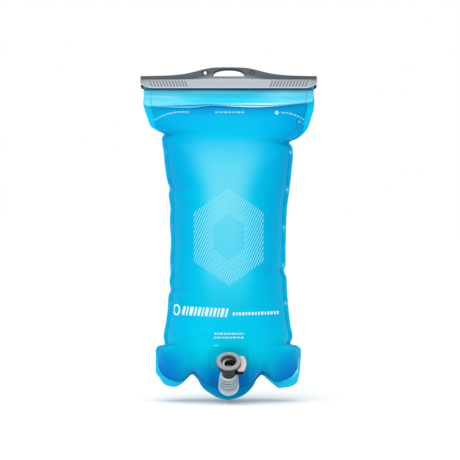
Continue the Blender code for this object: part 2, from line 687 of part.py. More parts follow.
def outlet_elbow(material, port, socket):
    """The clear elbow: a ribbed sleeve, a bulb and a neck with the base that is welded to the film."""
    elbow = turned("outlet_elbow", elbow_profile(), material, socket)
    made = bmesh.new()
    bmesh.ops.create_uvsphere(made, u_segments=24, v_segments=12, radius=BULB_RADIUS)
    bulb = add("bulb", mesh_of("bulb", made), parent=socket, place=(0, 0, -SOCKET_REACH))
    combine(elbow, "UNION", bulb)
    base = FILM / 2 + GAP
    foot = -FILM / 2
    fillet = NECK_RADIUS + 0.9 * MM
    neck = turned(
        "neck",
        [(0, NECK_LENGTH), (fillet, NECK_LENGTH), (fillet, base + 3 * MM),
         (BASE_RADIUS, base + BASE_THICKNESS), (BASE_RADIUS, base), (NECK_RADIUS, base),
         (NECK_RADIUS, foot), (0, foot)],
        parent=port,
    )
    combine(elbow, "UNION", neck)
    for name, radius, low, high, parent in (
        ("elbow_bore", ELBOW_BORE, -SOCKET_REACH, -ELBOW_TOP + 5 * MM, socket),
        ("neck_bore", NECK_BORE, -5 * MM, NECK_LENGTH, port),
        ("elbow_mouth", HOUSING_END_RADIUS + 2 * GAP, -HOUSING_LENGTH - 2 * GAP, -ELBOW_TOP + 5 * MM, socket),
    ):
        combine(elbow, "DIFFERENCE", add(name, cylinder_mesh(radius, low, high, 28), parent=parent))
    return elbow


def socket_housing(material, socket):
    """The socket's body: a bore for the tube's plug, a seal groove, the valve seat and its chamber."""
    groove = SEAL_RADIUS + SEAL_WIRE + GAP
    groove_half = SEAL_WIRE + GAP
    shoulder = SEAT_DEPTH - 1.4 * MM
    profile = [
        (HOUSING_RADIUS, -HOUSING_TOP),
        (HOUSING_RADIUS, -shoulder),
        (HOUSING_RADIUS - 0.5 * MM, -shoulder - 3 * MM),
        (HOUSING_END_RADIUS, -HOUSING_LENGTH + 2.5 * MM),
        (HOUSING_END_RADIUS, -HOUSING_LENGTH),
        (CHAMBER_RADIUS, -HOUSING_LENGTH),
        (CHAMBER_RADIUS, -SEAT_BOTTOM),
        (SEAT_RADIUS, -SEAT_BOTTOM),
        (SEAT_RADIUS, -SEAT_DEPTH),
        (BORE_RADIUS, -SEAT_DEPTH),
        (BORE_RADIUS, -SEAL_DEPTH - groove_half),
        (groove, -SEAL_DEPTH - groove_half),
        (groove, -SEAL_DEPTH + groove_half),
        (BORE_RADIUS, -SEAL_DEPTH + groove_half),
        (BORE_RADIUS, -HOUSING_TOP),
    ]
    housing = turned("socket_housing", profile, material, socket)
    across = LATCH_HALF_WIDTH + GAP
    channel = box_mesh((-2 * HOUSING_RADIUS, -across, -LATCH_BOTTOM - GAP), (2 * HOUSING_RADIUS, across, 0))
    combine(housing, "DIFFERENCE", add("latch_channel", channel, parent=socket))
    shelf_top = -PAD_BOTTOM - 0.4 * MM
    shelf = box_mesh((HOUSING_RADIUS - 1.2 * MM, -SHELF_HALF_WIDTH, shelf_top - SHELF_THICKNESS),
                     (PAD_FACE - 0.4 * MM, SHELF_HALF_WIDTH, shelf_top))
    combine(housing, "UNION", add("spring_shelf", shelf, parent=socket))
    return housing


def socket_collar(material, socket):
    """The ring that the plug enters through, snapped over the housing."""
    edge = 0.7 * MM
    throat = BORE_RADIUS + 0.3 * MM
    profile = [
        (COLLAR_RADIUS - edge, 0),
        (COLLAR_RADIUS, -edge),
        (COLLAR_RADIUS, -COLLAR_HEIGHT + edge),
        (COLLAR_RADIUS - edge, -COLLAR_HEIGHT),
        (throat, -COLLAR_HEIGHT),
        (throat, -COLLAR_HEIGHT + 1.2 * MM),
        (BORE_RADIUS + COLLAR_FLARE, 0),
    ]
    return turned("socket_collar", profile, material, socket, steps=40)


def latch_button(material, socket):
    """The sliding latch: a plate whose hole grips the plug, a thumb tab and the pad that is pressed."""
    plate = rounded_box_outline((-HOUSING_RADIUS + 1 * MM, -LATCH_HALF_WIDTH),
                                (TAB_FACE - 1 * MM, LATCH_HALF_WIDTH), 0.8 * MM)
    button = slab("latch_button", plate, LATCH_THICKNESS / 2, material, socket,
                  place=(0, 0, -(LATCH_TOP + LATCH_BOTTOM) / 2))
    start = HOUSING_RADIUS + TAB_START
    sweep = np.linspace(-1, 1, 9)
    tab_outline = [(start, -TAB_HALF_WIDTH)]
    tab_outline += [(TAB_FACE - TAB_CROWN * s * s, s * TAB_HALF_WIDTH) for s in sweep]
    tab_outline += [(start, TAB_HALF_WIDTH)]
    tab_half = (LATCH_THICKNESS + 0.4 * MM) / 2
    combine(button, "UNION", slab("tab", tab_outline, tab_half, parent=socket,
                                  place=(0, 0, -HOUSING_TOP - tab_half)))
    pad_outline = [(PAD_FACE, -PAD_HALF_WIDTH), (TAB_FACE - 1 * MM, -PAD_HALF_WIDTH), (TAB_FACE - 0.2 * MM, 0),
                   (TAB_FACE - 1 * MM, PAD_HALF_WIDTH), (PAD_FACE, PAD_HALF_WIDTH)]
    combine(button, "UNION", slab("pad", pad_outline, PAD_HEIGHT / 2, parent=socket,
                                  place=(0, 0, -LATCH_TOP - PAD_HEIGHT / 2)))
    hole = add("latch_hole", cylinder_mesh(LATCH_HOLE, -2 * LATCH_BOTTOM, 0), parent=socket,
               place=(LATCH_TRAVEL, 0, 0))
    combine(button, "DIFFERENCE", hole)
    return button


def barb_tail(material, socket):
    """The tail fixed in the housing and pushed into the elbow: a spring shelf inside, barbs outside."""
    plug = CHAMBER_RADIUS - GAP
    shoulder = -HOUSING_LENGTH - 0.2 * MM
    outside = [(plug, -TAIL_TOP), (plug, shoulder), (TAIL_RADIUS, shoulder)]
    for i in range(BARB_COUNT):
        top = shoulder - 2.6 * MM - i * BARB_PITCH
        outside += [(TAIL_RADIUS, top), (TAIL_RADIUS + BARB_HEIGHT, top - 0.1 * MM),
                    (TAIL_RADIUS, top - 0.8 * BARB_PITCH)]
    inside = [(TAIL_RADIUS, -TAIL_BOTTOM), (TAIL_BORE, -TAIL_BOTTOM), (TAIL_BORE, -SPRING_SHELF),
              (SPRING_BORE, -SPRING_SHELF), (SPRING_BORE, -TAIL_TOP)]
    return turned("barb_tail", outside + inside, material, socket)


def valve_poppet(material, socket):
    """The shut-off poppet: a nose that the plug pushes, a sealing head, and a stem inside the spring."""
    tip = POPPET_TOP - NOSE_LENGTH
    edge = 0.5 * MM
    profile = [
        (0, -tip), (NOSE_RADIUS - edge, -tip), (NOSE_RADIUS, -tip - edge),
        (NOSE_RADIUS, -POPPET_TOP), (POPPET_RADIUS, -POPPET_TOP), (POPPET_RADIUS, -POPPET_BOTTOM),
        (STEM_RADIUS, -POPPET_BOTTOM), (STEM_RADIUS, -POPPET_BOTTOM - STEM_LENGTH),
        (0, -POPPET_BOTTOM - STEM_LENGTH),
    ]
    return turned("valve_poppet", profile, material, socket)


def build():
    clear_scene()
    film = finish("film_blue", (0.0, 0.62, 0.85), 0.35, alpha=0.8)
    rail = finish("rail_blue", (0.1, 0.62, 0.8), 0.4)
    grey = finish("slider_grey", (0.4, 0.43, 0.46), 0.42)
    clear = finish("elbow_clear", (0.78, 0.86, 0.9), 0.25, alpha=0.6)
    dark = finish("socket_dark", (0.06, 0.055, 0.06), 0.4)
    collar = finish("collar_grey", (0.3, 0.28, 0.29), 0.35)
    pale = finish("latch_pale", (0.62, 0.6, 0.6), 0.35)
    rubber = finish("seal_rubber", (0.02, 0.02, 0.02), 0.6)
    steel = finish("spring_steel", (0.6, 0.6, 0.62), 0.3, metallic=1)

    port = add("port_axis", None, material=None)
    port.location = port_point()
    port.rotation_euler = (math.radians(90) + PORT_TILT, 0, 0)
    socket = add("socket_axis", None, material=None)
    socket.location = COLLAR_FACE
    socket.rotation_euler = (math.radians(90) - AXIS_RISE, 0, 0)

    smooth_shade(slider(grey))
    mouth_rails(rail)
    front = film_panel("front_panel", -1, 1, film)
    hole = add("port_hole", cylinder_mesh(PORT_HOLE_RADIUS, -6 * MM, 6 * MM), parent=port)
    combine(front, "DIFFERENCE", hole)
    film_panel("back_panel", 1, 2, film)
    port_plate(rail, port)
    smooth_shade(outlet_elbow(clear, port, socket))

    smooth_shade(socket_housing(dark, socket))
    smooth_shade(socket_collar(collar, socket))
    smooth_shade(latch_button(pale, socket))
    smooth_shade(barb_tail(pale, socket))
    smooth_shade(valve_poppet(collar, socket))
    ring("bore_seal", SEAL_RADIUS, SEAL_WIRE, rubber, socket, SEAL_DEPTH)
    ring("poppet_seal", POPPET_SEAL_RADIUS, POPPET_SEAL_WIRE, rubber, socket,
         POPPET_TOP - GAP - POPPET_SEAL_WIRE)
    spring_z = -LATCH_BOTTOM - GAP - LATCH_SPRING_RADIUS - SPRING_WIRE
    coil_spring("latch_spring", (HOUSING_RADIUS + GAP, 0, spring_z), (PAD_FACE - GAP, 0, spring_z),
                LATCH_SPRING_RADIUS, 5, steel, socket)
    coil_spring("valve_spring", (0, 0, -POPPET_BOTTOM - GAP), (0, 0, -SPRING_SHELF + GAP),
                VALVE_SPRING_RADIUS, 6, steel, socket)


PIECES = make_collection("hydration_bladder")
CUTTERS = make_collection("cutters")
build()
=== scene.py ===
"""Hydration bladder: the looks of a water-filled film reservoir with a slide seal and a quick-connect outlet,
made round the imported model. Metres, +Z up, the front faces -Y, and the origin is the hang slot's roof."""

import math

import bmesh
import bpy
import numpy as np
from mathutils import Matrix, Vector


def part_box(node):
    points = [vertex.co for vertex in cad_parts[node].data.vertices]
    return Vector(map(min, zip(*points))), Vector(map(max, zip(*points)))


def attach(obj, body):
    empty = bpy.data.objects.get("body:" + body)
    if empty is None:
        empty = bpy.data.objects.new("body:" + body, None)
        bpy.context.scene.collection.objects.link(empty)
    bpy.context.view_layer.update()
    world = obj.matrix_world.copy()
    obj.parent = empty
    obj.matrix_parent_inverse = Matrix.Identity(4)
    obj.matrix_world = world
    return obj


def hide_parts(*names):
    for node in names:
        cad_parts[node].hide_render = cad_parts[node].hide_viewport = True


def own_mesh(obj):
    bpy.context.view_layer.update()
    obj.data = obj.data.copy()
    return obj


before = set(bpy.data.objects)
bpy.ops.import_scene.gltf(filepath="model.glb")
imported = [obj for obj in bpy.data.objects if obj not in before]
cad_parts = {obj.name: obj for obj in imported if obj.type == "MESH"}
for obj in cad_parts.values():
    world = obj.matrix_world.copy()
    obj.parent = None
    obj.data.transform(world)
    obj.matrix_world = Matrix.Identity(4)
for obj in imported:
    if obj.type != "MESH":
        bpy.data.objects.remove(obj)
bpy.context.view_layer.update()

MM = 0.001

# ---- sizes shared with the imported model
FILM = 0.5 * MM
PITCH = 0.8 * MM  # from one film's middle to the next, where two lie together
GAP = 0.3 * MM
PORT_TILT = math.radians(28)
PORT_ABOVE_SEAM = 8.6 * MM
PORT_SEAM_DEPTH = 10.6 * MM
PORT_HOLE_RADIUS = 6.8 * MM
AXIS_RISE = math.radians(46)
SOCKET_REACH = 36.5 * MM  # from the bulb's middle to the collar's face
HOUSING_RADIUS = 8.85 * MM  # just clear of the housing, under its skirt
SPRING_WIRE = 0.3 * MM  # half the wire's thickness
VALVE_SPRING_LENGTH = 8.7 * MM

slider_low, slider_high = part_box("slider")
panel_low, panel_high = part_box("front_panel")
rod_low, rod_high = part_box("fold_rod")
latch_low, latch_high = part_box("latch_spring")

SLIDER_BOTTOM = slider_low.z
OUTLINE_BOTTOM = panel_low.z
SEAM_BOTTOM = OUTLINE_BOTTOM + 14 * MM
BODY_HEIGHT = SLIDER_BOTTOM - OUTLINE_BOTTOM
FRONT_Y = panel_high.y - FILM / 2  # middle of the front film where it lies in the seam
BACK_Y = FRONT_Y + PITCH
HALF_DEPTH = FRONT_Y - FILM / 2 - panel_low.y
ROD_Y, ROD_Z = (rod_low.y + rod_high.y) / 2, (rod_low.z + rod_high.z) / 2
ROD_RADIUS = (rod_high.z - rod_low.z) / 2

# The socket's axis rises from the bulb's middle to the middle of the collar's face
SOCKET_AXIS = np.array([0, -math.cos(AXIS_RISE), math.sin(AXIS_RISE)])
PORT_MIDDLE = np.array([0, FRONT_Y - PORT_SEAM_DEPTH - PORT_ABOVE_SEAM * math.tan(PORT_TILT),
                        SEAM_BOTTOM + PORT_ABOVE_SEAM])
PORT_AXIS = np.array([0, -math.cos(PORT_TILT), -math.sin(PORT_TILT)])
BULB_CENTRE = PORT_MIDDLE + 13 * MM * PORT_AXIS
COLLAR_FACE = BULB_CENTRE + SOCKET_REACH * SOCKET_AXIS
LATCH_SPRING_MIDDLE, VALVE_SPRING_MIDDLE = (
    np.array(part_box(spring)).mean(0) for spring in ("latch_spring", "valve_spring"))
LATCH_SPRING_LENGTH = latch_high.x - latch_low.x

# ---- the film's outline
# Half width against the distance below the slide seal, both in millimetres, down each side
LEFT_SIDE = (
    (0, 85.0), (15, 86.3), (22, 84.6), (29, 82.2), (36, 79.8), (38.5, 78.0), (41, 74.2), (43.5, 69.6),
    (45.5, 65.4), (49.5, 67.6), (54, 67.3), (62, 66.0), (75, 64.8), (94, 61.8), (100, 59.6), (107, 60.6),
    (121, 58.9), (133, 59.5), (154, 58.4), (174, 59.4), (185, 58.8), (195, 59.9), (203, 58.6), (208, 60.8),
    (222, 61.7), (236, 63.5), (250, 65.8), (258, 64.7), (260, 72.0), (264, 73.8), (290, 73.9))
RIGHT_SIDE = (
    (0, 85.4), (14, 86.6), (22, 85.6), (29, 83.2), (38, 80.6), (45, 75.6), (50, 69.2), (53, 62.2),
    (54.5, 61.2), (57, 63.2), (60, 64.6), (66, 65.0), (80, 63.8), (105, 61.0), (120, 59.0), (138, 58.1),
    (164, 57.6), (177, 57.6), (183, 55.9), (191, 58.5), (203, 59.0), (222, 60.5), (237, 62.2), (250, 64.5),
    (257.5, 62.4), (259.5, 69.4), (263, 73.1), (290, 71.6))
WELD_WIDTH = ((0, 8.1), (30, 7.6), (44, 4.6), (60, 4.2), (250, 4.2), (266, 3.4))
# Rise of the bottom seam and of the bottom outline, in millimetres, against the share of the half width
SEAM_LOBES = (
    (0, 0), (0.16, 0.6), (0.28, 2.4), (0.36, 5.6), (0.43, 11), (0.50, 14.4), (0.57, 11.5), (0.66, 6.0),
    (0.73, 5.2), (0.80, 7.0), (0.88, 9.6), (0.95, 13.2), (1, 20))
LEFT_LOBES = (
    (0, 0), (0.14, 2.2), (0.26, 6.6), (0.38, 13.2), (0.46, 22.5), (0.525, 26.2), (0.60, 21.6),
    (0.69, 15.8), (0.78, 13.4), (0.90, 15.2), (0.96, 19), (1, 24))
RIGHT_LOBES = (
    (0, 0), (0.14, 2.6), (0.24, 6.0), (0.35, 13.2), (0.43, 22.5), (0.485, 25.6), (0.57, 21.4),
    (0.66, 16.2), (0.745, 12.3), (0.84, 13.0), (0.93, 14.2), (1, 17.5))
LEFT_CORNER, RIGHT_CORNER = 5 * MM, 11 * MM  # how much further the outline rises across the side weld
# Stand-out of the film down its middle, as a share of the half depth, against the distance down the body
DEPTH_PROFILE = (
    (0, 0), (0.02, 0.02), (0.05, 0.16), (0.105, 0.43), (0.17, 0.67), (0.26, 0.88), (0.39, 0.98), (0.5, 1),
    (0.62, 0.97), (0.72, 0.88))
# Creases and swellings of the filled film: from x, z to x, z, half width, and height, in millimetres
CREASES = (
    (-64, -64, -40, -76, 5, -1.6), (-60, -68, -34, -90, 8, 1.2), (61, -72, 38, -86, 5, -1.6),
    (58, -77, 34, -100, 9, 1.1), (67, -50, 66, -68, 2.2, 1.0), (-73, -44, -69, -58, 3.5, -1.2),
    (73, -42, 72, -62, 4, -1.2), (-58, -118, -44, -122, 4, -0.9), (-58, -222, -43, -219, 4, -0.9),
    (55, -201, 41, -203, 4, -1.0), (-63, -277, -46, -280, 5, -1.2), (61, -276, 44, -280, 5, -1.2),
    (-60, -150, -48, -152, 3, -0.6), (-59, -176, -47, -177, 3, -0.6), (57, -160, 46, -160, 3, -0.6),
    (60, -128, 47, -130, 3, -0.6), (60, -228, 48, -228, 3, -0.6), (-26, -62, 6, -67, 7, -0.5),
    (-70, -296, -52, -304, 4, -0.9), (68, -296, 52, -304, 4, -0.9))


def smooth_through(knots, at):
    """Height on a curve through the knots. Between two knots it is the cubic whose end slopes are the
    harmonic mean of the slopes either side, and level at a peak, so it never overshoots a knot."""
    place, value = (np.array(column, float) for column in zip(*knots))
    step = np.diff(place)
    slope = np.diff(value) / step
    same_way = slope[1:] * slope[:-1] > 0
    product = np.where(same_way, slope[1:] * slope[:-1], 0)
    total = np.where(same_way, slope[1:] + slope[:-1], 1)
    tangent = np.concatenate([[slope[0]], 2 * product / total, [slope[-1]]])
    at = np.clip(at, place[0], place[-1])
    i = np.clip(np.searchsorted(place, at) - 1, 0, len(step) - 1)
    t = (at - place[i]) / step[i]
    return (value[i] * (1 + 2 * t) * (1 - t) ** 2 + value[i + 1] * t * t * (3 - 2 * t)
            + tangent[i] * step[i] * t * (1 - t) ** 2 - tangent[i + 1] * step[i] * t * t * (1 - t))


def soft_step(low, high, at):
    """0 at low and 1 at high, held beyond them, with an S curve 3t^2 - 2t^3 between."""
    t = np.clip((at - low) / (high - low), 0, 1)
    return t * t * (3 - 2 * t)


def bell(at, middle, width):
    """1 at the middle, dying away to either side as exp(-((at - middle) / width)^2)."""
    return np.exp(-(((at - middle) / width) ** 2))


def below_seal(z):
    """Distance below the slide seal, in millimetres."""
    return (SLIDER_BOTTOM - z) / MM


def outline_half(side, z):
    """Half width of the film's outline on the left (side below 0) or right, from that side's knots."""
    down = below_seal(z)
    return np.where(side < 0, smooth_through(LEFT_SIDE, down), smooth_through(RIGHT_SIDE, down)) * MM


def seam_half(side, z):
    """Half width of the water space: the outline's, less the side weld."""
    return outline_half(side, z) - smooth_through(WELD_WIDTH, below_seal(z)) * MM


def seam_floor(across):
    """Height of the bottom seam, lobed across the half width."""
    return SEAM_BOTTOM + smooth_through(SEAM_LOBES, np.abs(across)) * MM


def outline_floor(across):
    """Height of the bottom outline: a round middle lobe between two notches, and an ear at each side."""
    lobes = np.where(across < 0, smooth_through(LEFT_LOBES, np.abs(across)),
                     smooth_through(RIGHT_LOBES, np.abs(across)))
    return OUTLINE_BOTTOM + lobes * MM


def film_depth(across, z):
    """How far a film stands out of the seam's plane. Down the middle it follows the depth profile, and
    below that a straight line to the port. Across it is a blunt arch, (1 - |across|^n)^(1/n), and above
    the bottom seam it closes in a quarter circle."""
    share = np.clip((SLIDER_BOTTOM - z) / BODY_HEIGHT, 0, 1)
    port_line = PORT_SEAM_DEPTH + (z - SEAM_BOTTOM) * math.tan(PORT_TILT)
    low = np.clip((share - 0.70) / 0.14, 0, 1)
    middle = smooth_through(DEPTH_PROFILE, share) * HALF_DEPTH * (1 - low)
    middle = middle + np.minimum(port_line, HALF_DEPTH) * low
    blunt = 2.1 + 1.3 * low
    crown = np.maximum(0, 1 - np.abs(across) ** blunt) ** (1 / blunt)
    closing = (5 + 20 * np.clip((np.abs(across) - 0.3) / 0.35, 0, 1)) * MM
    rise = np.clip((z - seam_floor(across)) / closing, 0, 1)
    return middle * crown * np.sqrt(1 - (1 - rise) ** 2)


def crease_relief(x, z):
    """Sum of the creases: each is a bell, height * exp(-(distance / half width)^2), round its own line,
    where the distance is to the nearest point of the line."""
    x0, z0, x1, z1, half, height = (np.array(column, float) for column in zip(*CREASES))
    px, pz = x[..., None] / MM, z[..., None] / MM
    along_x, along_z = x1 - x0, z1 - z0
    t = np.clip(((px - x0) * along_x + (pz - z0) * along_z) / (along_x**2 + along_z**2), 0, 1)
    distance = (px - x0 - t * along_x) ** 2 + (pz - z0 - t * along_z) ** 2
    return (height * np.exp(-distance / half**2)).sum(-1) * MM


def seam_puckers(across, z, side):
    """The pull of the side welds on the filled film: waves down the seam, of two spacings that don't
    repeat together, dying away towards the middle of the bag."""
    down = below_seal(z)
    wave = np.sin(down / 2.3 + 1.7 * side) + 0.7 * np.sin(down / 1.37 + side)
    return 0.28 * MM * wave * bell(np.abs(across), 1, 1 / 9) * soft_step(50, 66, down)


def flange_wave(x, z):
    """Ripple of the flat weld, the same for both films: waves along the edge, growing outwards."""
    down = below_seal(z)
    return 0.45 * MM * (np.sin(down / 3.1) + np.sin(down / 1.9 + x / (9 * MM))) * soft_step(40, 60, down)


def outside_patch(x, z):
    """Distance outside the port's patch, a rounded rectangle welded round the port; below 0 inside it."""
    centre_z, half_x, half_z, corner = -297 * MM, 19.8 * MM, 17.8 * MM, 5 * MM
    dx, dz = np.abs(x) - half_x + corner, np.abs(z - centre_z) - half_z + corner
    return np.hypot(np.maximum(dx, 0), np.maximum(dz, 0)) + np.minimum(np.maximum(dx, dz), 0) - corner


def patch_rim(x, z):
    """The raised rim of the patch: a bell round its outline."""
    return bell(outside_patch(x, z), 0, 0.8 * MM)


def in_patch(x, z):
    """1 inside the patch and 0 outside it."""
    return soft_step(0.8 * MM, -0.8 * MM, outside_patch(x, z))


def front_height(x, z, across):
    """Y of the front film's middle, with its creases, puckers and patch."""
    depth = film_depth(across, z)
    lively = np.clip(depth / (6 * MM), 0, 1)
    side = np.sign(across)
    relief = crease_relief(x, z) + seam_puckers(across, z, side) + 0.35 * MM * patch_rim(x, z)
    return FRONT_Y - depth - relief * lively


def back_height(x, z, across):
    """Y of the back film's middle: the front's shape turned round, with fewer creases."""
    depth = film_depth(across, z)
    lively = np.clip(depth / (6 * MM), 0, 1)
    relief = 0.7 * crease_relief(-x, z) + seam_puckers(across, z, -np.sign(across))
    return BACK_Y + depth + relief * lively


def across_at(x, z):
    """Share of the half width at a place on the film."""
    return x / seam_half(np.sign(x), z)


# ---- meshes and materials
def grid_faces(rows, columns, wrap=False):
    """Corner numbers of every quad of a grid, and of the quads that join its last column to its first."""
    i, j = np.meshgrid(np.arange(rows - 1), np.arange(columns if wrap else columns - 1), indexing="ij")
    k = (j + 1) % columns
    return np.stack([i * columns + j, (i + 1) * columns + j, (i + 1) * columns + k, i * columns + k], -1)


def build_mesh(name, points, faces, material, layers=None, smooth=True):
    """A mesh piece at the origin from points and quads, with one value per point for each layer. Points
    that no face uses are dropped."""
    faces = np.asarray(faces).reshape(-1, 4)
    used, compact = np.unique(faces, return_inverse=True)
    points = np.asarray(points, float).reshape(-1, 3)[used]
    faces = compact.reshape(-1, 4)
    data = bpy.data.meshes.new(name)
    data.vertices.add(len(points))
    data.vertices.foreach_set("co", points.astype(np.float32).ravel())
    data.loops.add(faces.size)
    data.loops.foreach_set("vertex_index", faces.astype(np.int32).ravel())
    data.polygons.add(len(faces))
    data.polygons.foreach_set("loop_start", np.arange(0, faces.size, 4, dtype=np.int32))
    data.update(calc_edges=True)
    data.validate()
    for layer, values in (layers or {}).items():
        attribute = data.attributes.new(layer, "FLOAT", "POINT")
        attribute.data.foreach_set("value", np.asarray(values, np.float32).ravel()[used])
    if smooth:
        data.shade_smooth()
    data.materials.append(material)
    piece = bpy.data.objects.new(name, data)
    bpy.context.scene.collection.objects.link(piece)
    return piece


def thicken(piece, thickness, offset=0.0):
    """Gives a surface its wall: outwards only with offset 1, both ways with 0."""
    wall = piece.modifiers.new("wall", "SOLIDIFY")
    wall.thickness = thickness
    wall.offset = offset
    return piece


def linear(hex_colour):
    """An sRGB hex colour as linear red, green, blue and 1."""
    channels = np.array([int(hex_colour[i : i + 2], 16) for i in (1, 3, 5)]) / 255
    channels = np.where(channels <= 0.04045, channels / 12.92, ((channels + 0.055) / 1.055) ** 2.4)
    return (*channels.tolist(), 1.0)


def add_node(tree, kind, sockets=(), out=0, **settings):
    """One node, with its settings, and its sockets given values or links: the first ones in order, or
    those that a dictionary names or numbers. Gives back the output numbered or named by `out`."""
    node = tree.nodes.new(kind)
    for name, value in settings.items():
        setattr(node, name, value)
    for key, value in sockets.items() if isinstance(sockets, dict) else enumerate(sockets):
        if isinstance(value, bpy.types.NodeSocket):
            tree.links.new(value, node.inputs[key])
        else:
            node.inputs[key].default_value = value
    return node.outputs[out]


def start_material(name, **sockets):
    """A material's node tree and its Principled shader, whose sockets are named with _ for a space."""
    material = bpy.data.materials.new(name)
    material.use_nodes = True
    tree = material.node_tree
    shader = tree.nodes["Principled BSDF"]
    for key, value in sockets.items():
        shader.inputs[key.replace("_", " ")].default_value = value
    return material, tree, shader


def reckon(tree, value, *steps):
    """A number on the surface taken through sums in turn. Each step is a sum's name and the numbers or
    sockets that follow the value in it."""
    for operation, *others in steps:
        value = add_node(tree, "ShaderNodeMath", (value, *others), operation=operation)
    return value


def laid_over(tree, colour, *layers):
    """A colour with others laid over it in turn. Each layer is its share, as a socket or the name of the
    piece's own attribute, and its colour; colours are hex values, linear values or sockets."""
    colour = linear(colour) if isinstance(colour, str) else colour
    for share, tone in layers:
        if isinstance(share, str):
            share = add_node(tree, "ShaderNodeAttribute", out="Fac", attribute_name=share)
        tone = linear(tone) if isinstance(tone, str) else tone
        colour = add_node(tree, "ShaderNodeMix", {0: share, 6: colour, 7: tone}, 2, data_type="RGBA")
    return colour


def tone_bands(tree, value, bands, unit=MM):
    """A colour read off bands, each a place in `unit` and a hex colour, with a blend between them."""
    low, high = bands[0][0], bands[-1][0]
    share = add_node(tree, "ShaderNodeMapRange", (value, low * unit, high * unit))
    ramp = add_node(tree, "ShaderNodeValToRGB", (share,))
    stops = ramp.node.color_ramp.elements
    stops[0].color, stops[1].color = linear(bands[0][1]), linear(bands[-1][1])
    for place, tone in bands[1:-1]:
        stops.new((place - low) / (high - low)).color = linear(tone)
    return ramp


def grain(tree, size, detail=2.0, stretch=(1, 1, 1)):
    """Noise on the object's own coordinates, whose spots are about `size` metres across."""
    place = add_node(tree, "ShaderNodeTexCoord", out="Object")
    stretched = add_node(tree, "ShaderNodeMapping", {"Vector": place, "Scale": stretch})
    return add_node(tree, "ShaderNodeTexNoise", {"Vector": stretched, "Scale": 1 / size, "Detail": detail})


def spots(tree, size, detail=3, low=0.3, high=0.7, most=1.0):
    """The share of a second tone, in spots about `size` metres across, from 0 to `most`."""
    return add_node(tree, "ShaderNodeMapRange", (grain(tree, size, detail), low, high, 0.0, most))


def finish(tree, shader, colour, height=None, distance=0.0, strength=0.5):
    """Gives the shader its colour and, from a height of which 1 stands for `distance` metres, its
    relief."""
    tree.links.new(colour, shader.inputs["Base Color"])
    if height is not None:
        relief = add_node(tree, "ShaderNodeBump",
                          {"Height": height, "Distance": distance, "Strength": strength})
        tree.links.new(relief, shader.inputs["Normal"])


def along_socket(tree, start):
    """The object's own place measured up the socket's axis from a point on it, and out from the axis."""
    place = add_node(tree, "ShaderNodeTexCoord", out="Object")
    away = add_node(tree, "ShaderNodeVectorMath", (place, tuple(-start)), operation="ADD")
    along = add_node(tree, "ShaderNodeVectorMath", (away, tuple(SOCKET_AXIS)), "Value",
                     operation="DOT_PRODUCT")
    length = add_node(tree, "ShaderNodeVectorMath", (away,), "Value", operation="LENGTH")
    squared = reckon(tree, along, ("POWER", 2.0))
    return along, reckon(tree, length, ("POWER", 2.0), ("SUBTRACT", squared), ("MAXIMUM", 0.0), ("SQRT",))


# ---- materials
def tinted_film():
    """Polyurethane film, calendered and tinted blue. Filled with water it is cyan, with a painted milky glow
    where light would cross the whole bag, and a deeper blue, partly the tint and partly painted shade, where
    the film turns away, under the flap's edge, towards the bottom seam and beside a weld; the welds, with no
    water behind them, are paler, and painted highlights glint on some of them. Its face is satin, with a
    faint calender grain."""
    material, tree, shader = start_material("polyurethane_film_calendered", Roughness=0.36, IOR=1.5,
                                            Specular_IOR_Level=0.02)
    deep_and_shade = add_node(tree, "ShaderNodeAttribute", out="Fac", attribute_name="deep_and_shade")
    clouded = reckon(tree, grain(tree, 55 * MM), ("MULTIPLY_ADD", 0.16, -0.08), ("ADD", deep_and_shade))
    blue = tone_bands(tree, clouded, ((0, "#00d4f0"), (0.2, "#00bcdf"), (0.55, "#009dd5"), (1, "#006bcb")), 1)
    colour = laid_over(tree, blue, ("painted_glow", "#6ccfe4"), ("weld", "#0cc8ee"), ("painted_highlight", "#a8f2ff"),
                       ("line", "#0a86bd"))
    calender = reckon(tree, grain(tree, 1.1 * MM, 3), ("ADD", grain(tree, 16 * MM)))
    finish(tree, shader, colour, calender, 0.05 * MM)
    return material


def flap_film():
    """The same film folded double at the mouth with nothing behind it: paler and clearer, with faint level
    draw lines from the calender, a painted highlight along its lower edge and a painted shadow just under the
    slide seal."""
    material, tree, shader = start_material("polyurethane_film_double", Roughness=0.32, IOR=1.5,
                                            Specular_IOR_Level=0.08)
    streaks = grain(tree, 26 * MM, 3, (0.35, 1, 5))
    share = add_node(tree, "ShaderNodeMapRange", (streaks, 0.4, 0.65))
    colour = laid_over(tree, "#4ecbec", (share, "#7ee2f6"), ("deep_and_shade", "#0cc6e8"), ("painted_highlight", "#c8f8ff"),
                       ("line", "#1c9ccb"), ("shade", "#002c56"))
    finish(tree, shader, colour, reckon(tree, streaks, ("ADD", grain(tree, 1.1 * MM))), 0.06 * MM)
    return material


def printed_ink():
    """White screen-printing ink: matt, opaque and slightly uneven, so the film's blue shows through."""
    material, tree, shader = start_material("screen_ink_printed", Roughness=0.6, Specular_IOR_Level=0.2)
    uneven = spots(tree, 2.2 * MM, 4)
    finish(tree, shader, laid_over(tree, "#bfeefa", (uneven, "#f4fdff"), ("thin", "#86e4f6")))
    return material


